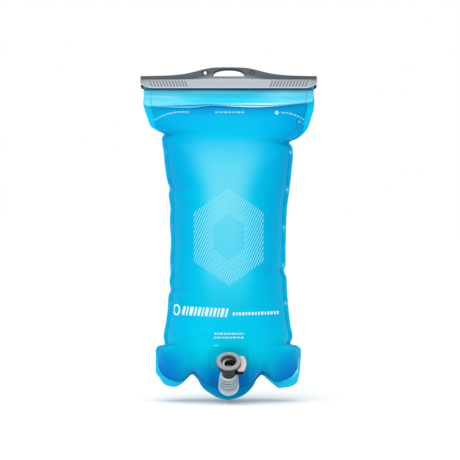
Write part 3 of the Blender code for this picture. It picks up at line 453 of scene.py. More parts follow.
def painted_recess_shade(tree, x, aside, z):
    """How much painted shade darkens the slide seal round its slot and eyelets."""
    # The slot's roof is the arch (1 - (x / 15.5 mm)^2)^0.4. Painted shade makes a band just over it nearly
    # black, where the roof's underside is in shadow, and a painted shadow darkens the edge of the ledge under
    # the slot.
    arch = reckon(tree, aside, ("DIVIDE", 15.5 * MM))
    over_roof = reckon(tree, arch, ("POWER", 2.0), ("MULTIPLY_ADD", -1.0, 1.0), ("MAXIMUM", 0.0),
                       ("POWER", 0.4), ("MULTIPLY_ADD", -5.9 * MM, 5.9 * MM), ("ADD", z))
    roof_shade = add_node(tree, "ShaderNodeMapRange", (over_roof, 1.5 * MM, 2.5 * MM, 0.93, 0.0))
    roof_shade = reckon(tree, over_roof, ("GREATER_THAN", -0.2 * MM), ("MULTIPLY", roof_shade),
                  ("MULTIPLY", reckon(tree, arch, ("LESS_THAN", 1.0))))
    sill_shade = reckon(tree, arch, ("LESS_THAN", 0.95), ("MULTIPLY", 0.35),
                  ("MULTIPLY", reckon(tree, z, ("COMPARE", -6.4 * MM, 0.6 * MM))))
    # The left eyelet is dished, and the right one has a ring round its plug; both are wider than high, and
    # painted shade darkens the dished hollow and the ring.
    wide = reckon(tree, aside, ("SUBTRACT", 23.7 * MM), ("POWER", 2.0))
    from_eyelet = reckon(tree, z, ("ADD", 2.2 * MM), ("POWER", 2.0), ("MULTIPLY_ADD", 1.9, wide), ("SQRT",))
    dish_shade = add_node(tree, "ShaderNodeMapRange", (from_eyelet, 3.0 * MM, 3.8 * MM, 0.9, 0.0))
    dish_shade = reckon(tree, x, ("LESS_THAN", 0.0), ("MULTIPLY", dish_shade))
    ring = reckon(tree, x, ("GREATER_THAN", 0.0), ("MULTIPLY", 0.6),
                  ("MULTIPLY", reckon(tree, from_eyelet, ("COMPARE", 2.35 * MM, 0.55 * MM))))
    return reckon(tree, roof_shade, ("MAXIMUM", sill_shade), ("MAXIMUM", dish_shade), ("MAXIMUM", ring))


def seal_plastic():
    """Glass-filled nylon, injection moulded: satin grey with spark-eroded grain. Painted shade makes the fin
    darker; the channel's face is pale, with painted shade in the grooves that fingers grip and at its round
    ends, a painted highlight along its lower edge and painted shade on the underside below that, and painted
    shade round the slot and eyelets."""
    material, tree, shader = start_material("glass_filled_nylon_moulded", Roughness=0.42, IOR=1.53,
                                            Specular_IOR_Level=0.35)
    place = add_node(tree, "ShaderNodeTexCoord", out="Object")
    x, _, z = add_node(tree, "ShaderNodeSeparateXYZ", (place,)).node.outputs
    aside = reckon(tree, x, ("ABSOLUTE",))
    speckle = spots(tree, 0.9 * MM, 3, 0.35, 0.65)
    # The crown is 1 at the middle and dies away past 35 mm, as 1 / (1 + (x / 35 mm)^4). The fin's lower edge
    # and its top both follow it, and the fin's painted shade is darkest near its top.
    crown = reckon(tree, x, ("DIVIDE", 35 * MM), ("POWER", 4.0), ("ADD", 1.0), ("POWER", -1.0))
    over_foot = reckon(tree, crown, ("MULTIPLY_ADD", -2.4 * MM, 10.2 * MM), ("ADD", z))
    fin = add_node(tree, "ShaderNodeMapRange", (over_foot, -1.4 * MM, 1.5 * MM),
                   interpolation_type="SMOOTHSTEP")
    under_top = reckon(tree, crown, ("MULTIPLY_ADD", 9 * MM, slider_high.z - 9 * MM), ("SUBTRACT", z))
    fin_shade = add_node(tree, "ShaderNodeMapRange", (under_top, 6 * MM, 10 * MM, 1.0, 0.6))
    # Grip grooves of 3.2 mm pitch lean over by 24 degrees, twelve to a side, painted darker as shade in the
    # grooves
    tilt = math.tan(math.radians(24))
    groove = reckon(tree, z, ("MULTIPLY_ADD", -tilt, -13.75 * MM * tilt - 43 * MM), ("ADD", aside),
                    ("DIVIDE", 3.2 * MM))
    from_groove = reckon(tree, groove, ("PINGPONG", 0.5))
    groove_shade = add_node(tree, "ShaderNodeMapRange", (from_groove, 0.18, 0.28, 1.0, 0.0))
    for value, middle, half in ((groove, 5.5, 5.8), (z, -13.75 * MM, 2.95 * MM)):
        groove_shade = reckon(tree, value, ("COMPARE", middle, half), ("MULTIPLY", groove_shade))
    # Painted shade darkens the channel's round ends, past 76 mm
    end = add_node(tree, "ShaderNodeMapRange", (aside, 76 * MM, 88 * MM))
    # The face's lower corners are round past 77 mm; a painted highlight runs along its lower edge, and
    # painted shade darkens the underside below it
    lower = reckon(tree, aside, ("SUBTRACT", 77 * MM), ("MAXIMUM", 0.0), ("POWER", 2.0),
                   ("MULTIPLY_ADD", -0.030 / MM, z))
    lip_highlight, foot_shade = (add_node(tree, "ShaderNodeMapRange", (
        lower, SLIDER_BOTTOM + low * MM, SLIDER_BOTTOM + high * MM, 1.0, 0.0)) for low, high in (
            (1.2, 1.9), (0.4, 0.9)))
    pale = laid_over(tree, "#a6afb5", (speckle, "#b4bdc2"), (end, "#8f98a2"), (groove_shade, "#7f8890"),
                     (lip_highlight, "#c4d0e0"), (foot_shade, "#1a3c58"))
    body = laid_over(tree, pale, (reckon(tree, fin, ("MULTIPLY", fin_shade)),
                                  laid_over(tree, "#465157", (speckle, "#566068"))))
    colour = laid_over(tree, body, (painted_recess_shade(tree, x, aside, z), "#141619"))
    finish(tree, shader, colour, grain(tree, 0.7 * MM, 3), 0.05 * MM)
    return material


def socket_ring():
    """A two-shot moulding, nylon over acetal: a pale satin ring on the face, with a fine painted highlight
    where it meets the bore, and near black down the funnel and round the skirt below."""
    material, tree, shader = start_material("nylon_over_acetal_moulded", Roughness=0.36, IOR=1.5,
                                            Specular_IOR_Level=0.4)
    along, radius = along_socket(tree, COLLAR_FACE)
    ring = tone_bands(tree, radius, (
        (6, "#322d31"), (7.8, "#38333a"), (8.2, "#97969c"), (8.5, "#b2b1b6"), (8.9, "#66656b"),
        (9.4, "#86858b"), (11.4, "#96959b"), (12.0, "#7c7b81"), (12.5, "#55535a")))
    skirt = add_node(tree, "ShaderNodeMapRange", (along, -1.5 * MM, -1.1 * MM, 1.0, 0.0))
    dark = laid_over(tree, "#2f2b2e", (spots(tree, 1.0 * MM), "#3c383b"))
    finish(tree, shader, laid_over(tree, ring, (skirt, dark)), grain(tree, 0.6 * MM), 0.04 * MM)
    return material


def moulded_plastic(name, low, high, roughness, level=0.5):
    """A moulded plastic: two near tones in spots of the tool's grain, which also roughens it."""
    material, tree, shader = start_material(name, Roughness=roughness, IOR=1.5, Specular_IOR_Level=level)
    colour = laid_over(tree, low, (spots(tree, 1.2 * MM), high))
    finish(tree, shader, colour, grain(tree, 0.6 * MM), 0.04 * MM)
    return material


def latch_acetal():
    """Acetal, moulded and left matt: a pale thumb tab, darker down its edge, a near-black band of painted
    shadow under it, and the dark pad below, with one painted highlight line where the pad starts."""
    material, tree, shader = start_material("acetal_latch_moulded", Roughness=0.4, IOR=1.48)
    along, _ = along_socket(tree, COLLAR_FACE)
    # Painted shadow in the near-black band 6.3 to 7.0 mm below the collar's face, under the tab, and a
    # painted highlight 7.4 to 8.2 mm below it, on the pad's edge
    banded = tone_bands(tree, along, (
        (-12, "#343133"), (-8.6, "#3e3a3b"), (-8.2, "#a89d97"), (-7.4, "#a89d97"), (-7.0, "#242123"),
        (-6.3, "#242123"), (-5.6, "#8d8887"), (-4.6, "#c0bbb8"), (0, "#c6c0bd")))
    colour = laid_over(tree, banded, (spots(tree, 1.2 * MM, most=0.14), "#8f8a88"))
    finish(tree, shader, colour, grain(tree, 0.6 * MM), 0.04 * MM)
    return material


def clear_silicone():
    """Clear silicone rubber, moulded: see-through with a slight frost. The bulb is milky, the barbs of the
    tail inside show dark in the hollows between the ribs, and a painted sheen lights up the edges."""
    material, tree, shader = start_material(
        "clear_silicone_moulded", Roughness=0.16, IOR=1.41, Transmission_Weight=0.14)
    along, _ = along_socket(tree, BULB_CENTRE)
    banded = tone_bands(tree, along, (
        (-10, "#f6ffff"), (-3.5, "#f0fdff"), (0, "#cfe4e9"), (3.2, "#a3b6bb"), (4.4, "#93a5aa"),
        (4.9, "#4a585c"), (5.6, "#a9bbc1"), (7.4, "#acbec4"), (8.0, "#39464a"), (8.7, "#3c494d"),
        (9.4, "#a6b8be"), (10.5, "#a6b8be"), (11.0, "#2c3739"), (12.0, "#2c3739"), (12.6, "#a9bac0"),
        (13.7, "#a9bac0"), (14.2, "#363f41"), (15.0, "#394244"), (15.6, "#b6c6cb"), (17.6, "#d4e6ea")))
    # Painted sheen: the colour turns pale where the surface turns edge-on
    facing = add_node(tree, "ShaderNodeLayerWeight", {"Blend": 0.35}, "Facing")
    edge = add_node(tree, "ShaderNodeMapRange", (facing, 0.35, 0.7))
    colour = laid_over(tree, banded, (spots(tree, 5 * MM, 2, most=0.16), "#f4fcff"), (edge, "#d8f4fc"))
    finish(tree, shader, colour, grain(tree, 1.5 * MM), 0.05 * MM, 0.4)
    return material


def spring_steel():
    """Stainless spring wire, drawn: bright, with fine draw marks along it."""
    material, tree, shader = start_material("stainless_wire_drawn", Metallic=1.0, Roughness=0.3)
    finish(tree, shader, laid_over(tree, "#9aa0a4", (grain(tree, 0.6 * MM, 2, (1, 1, 4)), "#c9ced1")))
    return material


FILM_BLUE = tinted_film()
FLAP_BLUE = flap_film()
WHITE_INK = printed_ink()
SEAL_GREY = seal_plastic()
CLEAR_RUBBER = clear_silicone()
DARK_HOUSING = moulded_plastic("acetal_housing_moulded", "#1c1a1c", "#282527", 0.4, level=0.25)
POPPET_GREY = moulded_plastic("acetal_poppet_moulded", "#57525a", "#68636b", 0.4, level=0.25)
COLLAR_GREY = socket_ring()
LATCH_GREY = latch_acetal()
RUBBER_BLACK = moulded_plastic("nitrile_rubber_moulded", "#1b1c1d", "#27292b", 0.6)
RAIL_WHITE = moulded_plastic("polypropylene_rod_extruded", "#d5dde0", "#e6ecee", 0.45)
PLATE_BLUE = moulded_plastic("polyurethane_plate_moulded", "#1792c4", "#25a2d2", 0.4)
WIRE = spring_steel()


# ---- the reservoir's films
# Against the distance below the slide seal, in millimetres: how far the film's blue deepens with its painted
# shade down the middle, with a painted shadow under the flap's edge and more shade towards the bottom, and
# down the sides; how strong the painted glow is down the middle, and how wide it spreads as a share of the
# half width
DEEP_AND_SHADE_MIDDLE = (
    (0, 0.7), (22, 0.64), (30, 0.4), (44, 0.32), (62, 0.27), (90, 0.2), (200, 0.17), (240, 0.2),
    (252, 0.1), (262, 0.04), (272, 0.14), (284, 0.55), (300, 0.8), (330, 0.62))
DEEP_AND_SHADE_SIDES = (
    (0, 0.42), (24, 0.44), (44, 0.5), (60, 0.48), (90, 0.5), (120, 0.45), (190, 0.38), (235, 0.36),
    (255, 0.26), (262, 0.46), (274, 0.74), (284, 0.86), (300, 0.92), (330, 0.75))
PAINTED_GLOW = ((0, 0), (46, 0), (62, 0.34), (88, 0.74), (110, 0.78), (150, 0.66), (180, 0.5), (200, 0.14), (235, 0))
PAINTED_GLOW_SPREAD = ((0, 0.6), (60, 0.56), (85, 0.43), (110, 0.35), (150, 0.39), (210, 0.36))


def film_tones(across, down):
    """How far the film's blue deepens with its painted shade, and how strong its painted glow is. The blue
    and the shade grow towards the sides and the bottom seam, with a darker band of painted shade down the
    right and a paler hollow over each notch;
    the glow fades out as exp(-(across / spread)^4)."""
    aside = np.abs(across)
    middle = smooth_through(DEEP_AND_SHADE_MIDDLE, down)
    deep_and_shade = middle + (smooth_through(DEEP_AND_SHADE_SIDES, down) - middle) * soft_step(0.3, 1.0, aside)
    band = bell(across, 0.68, 0.2) * soft_step(80, 120, down) * soft_step(215, 190, down)
    right_edge = soft_step(0.75, 1.0, across) * soft_step(85, 120, down) * soft_step(290, 262, down)
    right_shoulder = soft_step(0.6, 0.95, across) * soft_step(52, 36, down)
    hollow = bell(aside, 0.60, 0.12) * soft_step(264, 284, down)
    deep_and_shade = deep_and_shade + 0.06 * band - 0.07 * right_edge + 0.14 * right_shoulder - 0.26 * hollow
    fading = np.exp(-((np.abs(across + 0.04) / smooth_through(PAINTED_GLOW_SPREAD, down)) ** 4))
    return deep_and_shade, smooth_through(PAINTED_GLOW, down) * fading


def weld_tones(across, down, welded):
    """How pale the welds look, and the painted highlights on them. The weld is palest at the ears, the
    shoulders and the middle lobe's rim; a painted highlight glints along the right ear, faint painted
    highlight lines run along the ears, and a small painted highlight sits every 38 mm down the sides."""
    aside = np.abs(across)
    ears = soft_step(0.42, 0.55, aside) * soft_step(255, 275, down)
    shoulders = soft_step(50, 34, down) * (1 - 0.3 * (across > 0))
    lobe = soft_step(0.5, 0.42, aside) * soft_step(0.0, 0.3, welded)
    lobe_rim = soft_step(0.75, 1.0, welded) * soft_step(0.5, 0.4, aside)
    pale = soft_step(0.05, 0.25, welded) * (0.35 * soft_step(0.5, 0.9, aside) + 0.65 * ears + 0.6 * shoulders
                                            + 0.3 * lobe + 0.6 * lobe_rim)
    right_ear = soft_step(0.90, 0.97, across) * soft_step(258, 266, down) * soft_step(298, 284, down)
    glint = bell(welded, 0.3, 0.1) * ears * (0.05 + 0.9 * right_ear)
    glint = glint + 0.09 * ears * soft_step(0.4, 0.6, welded) * np.cos(welded * 19) ** 4
    highlight_speck = bell(np.mod(down - 45, 38), 19, 1.1) * bell(welded, 0.4, 0.3)
    highlight_speck = highlight_speck * (welded > 0) * soft_step(50, 60, down) * soft_step(255, 250, down)
    return pale, glint + highlight_speck * (0.15 + 0.75 * (across > 0))


def body_grid():
    """The parameters of a panel below the slide seal. Columns: the share of the half width, from -1 to 1,
    and the share of the side weld outside it. Rows: the share of the way down to the bottom seam, closer
    together at the shoulders and over the ears, and the share of the bottom weld below it."""
    columns, side_columns, bottom_rows = 129, 5, 20
    turn = np.linspace(-1, 1, columns)
    inner = 0.55 * np.sin(turn * math.pi / 2) + 0.45 * turn
    weld = np.linspace(0, 1, side_columns + 1)[1:]
    across = np.concatenate([np.full(side_columns, -1.0), inner, np.full(side_columns, 1.0)])
    side_weld = np.concatenate([weld[::-1], np.zeros(columns), weld])
    down = [np.linspace(*stretch) for stretch in ((0, 1, 150), (0.126, 0.21, 22), (0.91, 0.965, 20))]
    down = np.unique(np.round(np.concatenate(down), 4))
    bottom_weld = np.concatenate([np.zeros(len(down)), np.linspace(0, 1, bottom_rows + 1)[1:]])
    down = np.concatenate([down, np.ones(bottom_rows)])
    return across, side_weld, down, bottom_weld


def body_points(height):
    """Places on a panel's body, their share of the half width and how far into a weld they lie. Z runs
    from the seal to the lobed seam and on over the weld, X is the share of the seam's half width, and Y
    comes from `height`; in the welds it is the flat flange's place plus its wave."""
    across, side_weld, down, bottom_weld = body_grid()
    u, t = across[None, :], side_weld[None, :]
    v, w = down[:, None], bottom_weld[:, None]
    side = np.where(u < 0, -1.0, 1.0) + 0 * v
    floor = seam_floor(u)
    corner = np.where(u < 0, LEFT_CORNER, RIGHT_CORNER) * t**1.5
    z = SLIDER_BOTTOM + (floor - SLIDER_BOTTOM) * v + (outline_floor(u) + corner - floor) * w
    seam_x = seam_half(side, np.maximum(z, floor))
    x = u * seam_x + side * (outline_half(side, z) - seam_x) * t
    welded = np.maximum(t, w) + 0 * z
    y = height(x, z, u + 0 * z)
    flange = flange_wave(x, z) * np.clip(welded * 1.2, 0, 1) ** 1.5
    y = np.where(welded > 0, height(x, z, np.sign(u) + 0 * z) + flange, y)
    return x, y, z, u + 0 * z, welded


def port_axis_distance(points):
    """Distance from the port's axis."""
    return np.linalg.norm(np.cross(points - PORT_MIDDLE, PORT_AXIS), axis=-1)


def film_body(name, height, material, front):
    """One side of the bag below the slide seal, with its weld flange, as one grid."""
    x, y, z, across, welded = body_points(height)
    points = np.stack([x, y, z], -1)
    down = below_seal(z)
    deep_and_shade, painted_glow = film_tones(across, down)
    deep_and_shade = deep_and_shade + in_patch(x, z) * front * (0.05 + 0.09 * soft_step(272, 290, down))
    weld, glint = weld_tones(across, down, welded)
    ear_top = bell(down, 259.6, 0.8) * (np.abs(across) > 0.94)
    line = 0.16 * patch_rim(x, z) * front + 0.8 * ear_top
    faces = grid_faces(*x.shape)
    if front:
        middles = points.reshape(-1, 3)[faces].mean(-2)
        faces = faces[port_axis_distance(middles) > PORT_HOLE_RADIUS]
    else:
        faces = faces[..., ::-1]
    layers = {"deep_and_shade": deep_and_shade, "painted_glow": painted_glow * (1 if front else 0.6), "weld": weld, "line": line, "painted_highlight": glint}
    piece = build_mesh(name, points, faces, material, layers)
    return thicken(piece, FILM)


def flap_edge(x, layer):
    """Height of a flap layer's free edge: the outer layer's wanders and climbs to the right end, and the
    inner one hangs below it in two long lenses."""
    a = x / MM
    outer = -35.6 + 1.5 * bell(a, -17, 15) + 0.8 * bell(a, 40, 26)
    outer = outer + 3.6 * np.clip((a - 48) / 38, 0, 1) ** 1.6 + 0.3 * np.sin(a / 9)
    if layer == 2:
        return outer * MM
    left, right = bell(a, -44, 24), bell(a, 24, 27)
    return (outer - 0.5 - 2.4 * left - 2.1 * right) * MM


def mouth_flap(name, layer, material):
    """A layer of the folded mouth: an arc of one radius over the rod inside the slide seal, a straight run
    down to the seal's mouth, then a flap that hangs in front of the bag. The flap keeps the body's own
    curve behind it, one film further out for each layer, and has round lower corners."""
    across = np.linspace(-1, 1, 141)
    radius = ROD_RADIUS + GAP + FILM / 2 + (layer - 1) * PITCH
    front_y = FRONT_Y - layer * PITCH
    wrap = math.radians(60)
    turn = np.linspace(0, math.pi + wrap, 15)
    over_y, over_z = ROD_Y + radius * np.cos(turn), ROD_Z + radius * np.sin(turn)
    bend_z = over_z[-1] - (front_y - over_y[-1]) / math.tan(wrap)
    half = smooth_through(LEFT_SIDE, 8) * MM
    x = across * half
    t = np.linspace(0, 1, 23)[:, None]
    edge = flap_edge(x, layer)[None, :]
    z = SLIDER_BOTTOM + (edge - SLIDER_BOTTOM) * t
    corner, from_edge = 5 * MM, z - edge
    inset = corner - np.sqrt(np.maximum(corner**2 - np.maximum(corner - from_edge, 0) ** 2, 0))
    flap_x = x[None, :] - across[None, :] * inset
    free = np.clip((SLIDER_BOTTOM - z) / (10 * MM), 0, 1)
    swing = 0.35 * MM * np.sin(x / (13 * MM) + 2 * layer)[None, :] * free**2
    stand_off = layer * (PITCH + 1.0 * MM * free) + swing
    flap_y = FRONT_Y - film_depth(np.clip(across_at(flap_x, z), -1, 1), z) - stand_off
    hidden_y = np.concatenate([over_y, [front_y]])[:, None] + 0 * x
    hidden_z = np.concatenate([over_z, [bend_z]])[:, None] + 0 * x
    points = np.concatenate([np.stack([x + 0 * hidden_y, hidden_y, hidden_z], -1),
                             np.stack([flap_x, flap_y, z], -1)])
    rows = len(points)
    hang = np.concatenate([np.zeros(len(hidden_y)), t[:, 0]])[:, None]
    place = np.abs(points[..., 0]) / MM
    line = bell(place, 78, 0.5) * 0.8 + 0.35 * bell(hang, 0.55, 0.02)
    # Painted highlight along the flap's lower edge, strongest in a lens round x = 32 mm
    lens = bell(points[..., 0] / MM, 32, 26)
    painted_highlight = soft_step(0.88, 0.96, hang) * (0.1 + 0.85 * lens)
    under = below_seal(points[..., 2])
    shade = soft_step(3.4, 0.2, under) * soft_step(-1.2, 0.0, under) * 0.88
    deep_and_shade = (1 - soft_step(16, 66, place)) * (0.92 if layer == 2 else 0.6)
    # Painted light: the flap's blue is paler in its first 8 mm under the slide seal, against the seal's
    # shadow there
    deep_and_shade = deep_and_shade * (0.4 + 0.6 * soft_step(1, 8, under))
    layers = {"deep_and_shade": deep_and_shade, "painted_highlight": painted_highlight, "line": line * (layer == 2), "shade": shade}
    piece = build_mesh(name, points, grid_faces(rows, len(across))[..., ::-1], material, layers)
    return thicken(piece, FILM)


# ---- printed marks
def ink_strips(x, z, keep, half_width, thin):
    """Strips of ink along lines on the front film. x and z hold one line a row; each point becomes a pair
    set `half_width` either side of the line, and a quad joins neighbouring pairs where both are kept."""
    step_x, step_z = np.gradient(x, axis=1), np.gradient(z, axis=1)
    length = np.hypot(step_x, step_z)
    side_x, side_z = -step_z / length * half_width, step_x / length * half_width
    px, pz = np.stack([x - side_x, x + side_x], -1), np.stack([z - side_z, z + side_z], -1)
    across = across_at(px, pz)
    py = front_height(px, pz, across) - FILM / 2 - (0.06 + 0.3 * across**4) * MM
    points = np.stack([px, py, pz], -1).reshape(-1, 3)
    number = np.arange(len(points)).reshape(*x.shape, 2)
    a, b, c, d = number[:, :-1, 0], number[:, 1:, 0], number[:, 1:, 1], number[:, :-1, 1]
    quads = np.stack([a, b, c, d], -1)[keep[:, :-1] & keep[:, 1:]]
    return points, quads, np.full(len(points), thin)


def emblem_strips():
    """A hatched ring between two upright hexagons, where the larger of |x|/a and |x|/2a + |z|/b is 1:
    parallel leaning lines, kept between the inner and the outer one."""
    lean, pitch, middle = math.tan(math.radians(24)), 2.45 * MM, -168 * MM
    offset = (np.arange(-24, 25) * pitch)[:, None]
    z = middle + np.linspace(-50, 50, 151)[None, :] * MM + 0 * offset
    x = offset + (z - middle) * lean
    aside, up = np.abs(x) / MM, np.abs(z - middle) / MM
    outer = np.maximum(aside / 35, aside / 70 + up / 49) < 1
    inner = np.maximum(aside / 15, aside / 30 + up / 23) < 1
    return ink_strips(x, z, outer & ~inner, 0.3 * MM, 0.85)


def bar_row(start, end, height, widths, gap, lean=0.0, sag=0.0, thin=0.0):
    """A row of upright bars from start to end, both (x, z) in millimetres. The bars' widths repeat in
    turn with a gap between them, and the row may lean its bars and bow by `sag` at its middle."""
    run = math.hypot(end[0] - start[0], end[1] - start[1])
    pattern = np.array(widths, float)
    count = int(run / (pattern.mean() + gap))
    width = np.resize(pattern, count)
    left = np.concatenate([[0], np.cumsum(width + gap)[:-1]])
    centre = (left + width / 2) / (left[-1] + width[-1])
    cx = start[0] + (end[0] - start[0]) * centre
    cz = start[1] + (end[1] - start[1]) * centre + sag * 4 * centre * (1 - centre)
    rise = np.linspace(-0.5, 0.5, 5)[None, :] * height
    x = cx[:, None] + rise * math.tan(math.radians(lean)) + 0 * rise
    z = cz[:, None] + rise
    strips = [ink_strips(x[i : i + 1] * MM, z[i : i + 1] * MM, np.ones((1, 5), bool), width[i] / 2 * MM, thin)
              for i in range(count)]
    return strips


def printed_marks(material):
    """All the ink on the front film as one piece: the hatched ring, a row of leaning bars with a ring
    before it where the maker's line stands, and small rows of dashes where the notes stand."""
    strips = [emblem_strips()]
    strips += bar_row((-46, -241.5), (-1, -243.5), 8.6, (2.4, 1.5, 3.0, 2.0), 1.5, lean=14)
    strips += bar_row((4, -244.6), (50, -243.6), 3.0, (2.2, 1.4, 1.8), 1.2)
    strips += bar_row((-14.5, -264.2), (15, -264.2), 1.5, (2.4, 1.2, 3.0, 1.6), 0.7, thin=0.4)
    strips += bar_row((-14.5, -268.0), (15, -268.0), 1.5, (1.6, 2.8, 1.2), 0.7, thin=0.4)
    strips += bar_row((-13.5, -42.6), (15.5, -42.6), 1.4, (2.6, 1.2, 2.0, 3.2), 0.9, thin=1.0)
    strips += bar_row((-75, -50.0), (-40, -42.6), 1.4, (2.0, 1.2, 1.6), 0.9, sag=3.0, thin=0.9)
    strips += bar_row((53, -42.8), (76, -49.6), 1.4, (2.0, 1.2, 1.6), 0.9, sag=1.6, thin=0.9)
    strips += bar_row((70, -51.4), (75.4, -54.0), 1.4, (1.6, 1.2), 0.8, thin=0.9)
    strips += bar_row((-15.6, -276.2), (-9.4, -275.8), 0.7, (5.4,), 0.4, thin=0.9)
    turn = np.linspace(0, 2 * math.pi, 25)[None, :]
    for cx, cz, rx, rz, half in ((-52.2, -241, 2.9, 4.9, 0.8), (48.4, -43, 1.3, 1.3, 0.5)):
        strips.append(ink_strips((cx + rx * np.cos(turn)) * MM, (cz + rz * np.sin(turn)) * MM,
                                 np.ones(turn.shape, bool), half * MM, 0.0))
    start = np.cumsum([0] + [len(points) for points, _, _ in strips])
    points = np.concatenate([points for points, _, _ in strips])
    quads = np.concatenate([quads + base for (_, quads, _), base in zip(strips, start)])
    thin = np.concatenate([value for _, _, value in strips])
    piece = build_mesh("printed_marks", points, quads, material, {"thin": thin}, smooth=False)
    return thicken(piece, 0.06 * MM, 1.0)


# ---- the socket's skirt and the small solids
def merge_points(piece):
    """Merges points that coincide, so that poles and seams are closed, and turns the faces outwards."""
    shape = bmesh.new()
    shape.from_mesh(piece.data)
    bmesh.ops.remove_doubles(shape, verts=shape.verts, dist=1e-6)
    bmesh.ops.dissolve_degenerate(shape, edges=shape.edges, dist=1e-6)
    bmesh.ops.recalc_face_normals(shape, faces=shape.faces)
    shape.to_mesh(piece.data)
    shape.free()
    return piece


def on_socket(aside, up, depth):
    """A place in the socket's own frame: X aside, then up square to the axis, and down from its face."""
    up_way = np.array([0, math.sin(AXIS_RISE), math.cos(AXIS_RISE)])
    return (COLLAR_FACE + aside[..., None] * np.array([1.0, 0, 0]) + up[..., None] * up_way
            - depth[..., None] * SOCKET_AXIS)


def collar_skirt(material):
    """The cone under the collar: turned round the axis from one side of the latch to the other. Its
    radius falls from the collar's to the housing's, its top steps down where the latch plate slides
    through, and its two ends fold in to the housing."""
    turn = np.linspace(28, 332, 96)
    turn = np.radians(np.concatenate([turn[:1], turn, turn[-1:]]))[:, None]
    from_front = np.abs(np.degrees(turn) - 270)
    from_back = np.abs(np.degrees(turn) - 90)
    top = 3.6 + 2.9 * soft_step(27, 32, np.minimum(from_front, from_back))
    share = np.linspace(0, 1, 12)[None, :]
    depth = top + (9.9 - top) * share
    radius = smooth_through(((3.3, 12.1), (4.6, 11.8), (6.4, 11.0), (8.4, 9.9), (9.9, 9.0)), depth)
    inner = np.full_like(depth[:, :1], HOUSING_RADIUS / MM)
    radius = np.concatenate([inner, radius, inner], 1)
    depth = np.concatenate([depth[:, :1], depth, depth[:, -1:]], 1)
    radius[[0, -1]] = HOUSING_RADIUS / MM
    points = on_socket(radius * np.cos(turn) * MM, radius * np.sin(turn) * MM, depth * MM)
    piece = merge_points(build_mesh("collar_skirt", points, grid_faces(*radius.shape), material))
    return thicken(piece, 0.24 * MM)


def soft_block(name, centre, half, square, edge, place, material):
    """A block with round corners: a superellipsoid, whose sections are superellipses |a|^n + |b|^n = 1,
    with n = 2 / square in plan and n = 2 / edge across its thickness."""
    def power(value, exponent):
        return np.sign(value) * np.abs(value) ** exponent
    turn = np.linspace(0, 2 * math.pi, 65)[None, :]
    lift = np.linspace(-math.pi / 2, math.pi / 2, 25)[:, None]
    a = centre[0] + half[0] * power(np.cos(lift), edge) * power(np.cos(turn), square)
    b = centre[1] + half[1] * power(np.cos(lift), edge) * power(np.sin(turn), square)
    c = centre[2] + half[2] * power(np.sin(lift), edge) + 0 * turn
    return merge_points(build_mesh(name, place(a * MM, b * MM, c * MM), grid_faces(*a.shape), material))


def turned(name, profile, start, way, material):
    """A profile of (radius, distance) pairs, in millimetres, turned round the axis that runs from start
    along way."""
    radius, distance = (np.array(column, float)[:, None] * MM for column in zip(*profile))
    turn = np.linspace(0, 2 * math.pi, 73)[None, :]
    upright = np.cross([1.0, 0, 0], way)
    points = (start + (radius * np.cos(turn))[..., None] * np.array([1.0, 0, 0])
              + (radius * np.sin(turn))[..., None] * upright + (distance + 0 * turn)[..., None] * way)
    return merge_points(build_mesh(name, points, grid_faces(*points.shape[:2]), material))


def elbow_sleeve(material):
    """The sleeve over the barbed tail and the bulb below it. The sleeve widens downwards and carries four
    round ribs, raised cosines of 3.1 mm pitch, and its bore ends inside the bulb."""
    depth = np.concatenate([np.linspace(19.2, 33, 70), np.linspace(33, 46.9, 40)[1:]])
    swell = smooth_through((
        (18.9, 7.5), (22, 8.3), (26, 8.9), (30, 9.3), (33.5, 10.1), (36.5, 10.4), (40, 9.8), (43, 8.1),
        (45.5, 4.9), (46.4, 3.2), (46.9, 0)), depth)
    ribbed = soft_step(19.2, 20.2, depth) * soft_step(33.0, 31.0, depth)
    swell = swell + 0.75 * ribbed * (0.5 + 0.5 * np.cos((depth - 20.6) / 3.1 * 2 * math.pi)) ** 1.5
    profile = [(0, 40), (4.95, 39), (4.95, 19.3), (5.3, 18.9), (7.0, 18.9)] + list(zip(swell, depth))
    return turned("elbow_sleeve", profile, COLLAR_FACE, -SOCKET_AXIS, material)


def elbow_neck(material):
    """The neck from the bulb to the film, with the round base that is welded on."""
    profile = [(0, 13), (6.4, 13), (6.4, 7), (6.9, 4.4), (8.2, 1.7), (8.3, 0.7), (6.4, 0.6), (6.4, -0.2),
               (0, -0.2)]
    return turned("elbow_neck", profile, PORT_MIDDLE, PORT_AXIS, material)


def coil(name, middle, way, length, radius, turns, material):
    """A coil spring: a round wire carried along a helix about the way through its middle, and closed by a
    point at each tip. The wire's section is a circle in the plane of the axis and the way out from it."""
    first = np.cross(way, [1.0, 0, 0] if abs(way[0]) < 0.9 else [0, 1.0, 0])
    first = first / np.linalg.norm(first)
    second = np.cross(way, first)
    share = np.concatenate([[0], np.linspace(0, 1, 24 * turns), [1]])[:, None]
    thick = np.concatenate([[0], np.full(24 * turns, SPRING_WIRE), [0]])[:, None]
    turn = 2 * math.pi * turns * share
    out = np.cos(turn)[..., None] * first + np.sin(turn)[..., None] * second
    section = np.linspace(0, 2 * math.pi, 9)[None, :]
    rise = SPRING_WIRE - length / 2 + (length - 2 * SPRING_WIRE) * share + thick * np.sin(section)
    points = middle + (radius + thick * np.cos(section))[..., None] * out + rise[..., None] * way
    return merge_points(build_mesh(name, points, grid_faces(*points.shape[:2]), material))


def blind_eyelet(material):
    """The plug that fills the right eyelet, a little short of both faces of the fin."""
    return soft_block("blind_eyelet", (23.7, -2.36, 0), (1.69, 1.69, 1.45), 1.0, 0.12,
                      lambda a, b, c: np.stack([a, c, b], -1), material)


def thumb_rest(material):
    """The ledge below the latch's pad, over the spring's shelf."""
    return soft_block("thumb_rest", (10.2, 0, 11.8), (5.2, 7.6, 0.9), 0.5, 0.3, on_socket, material)


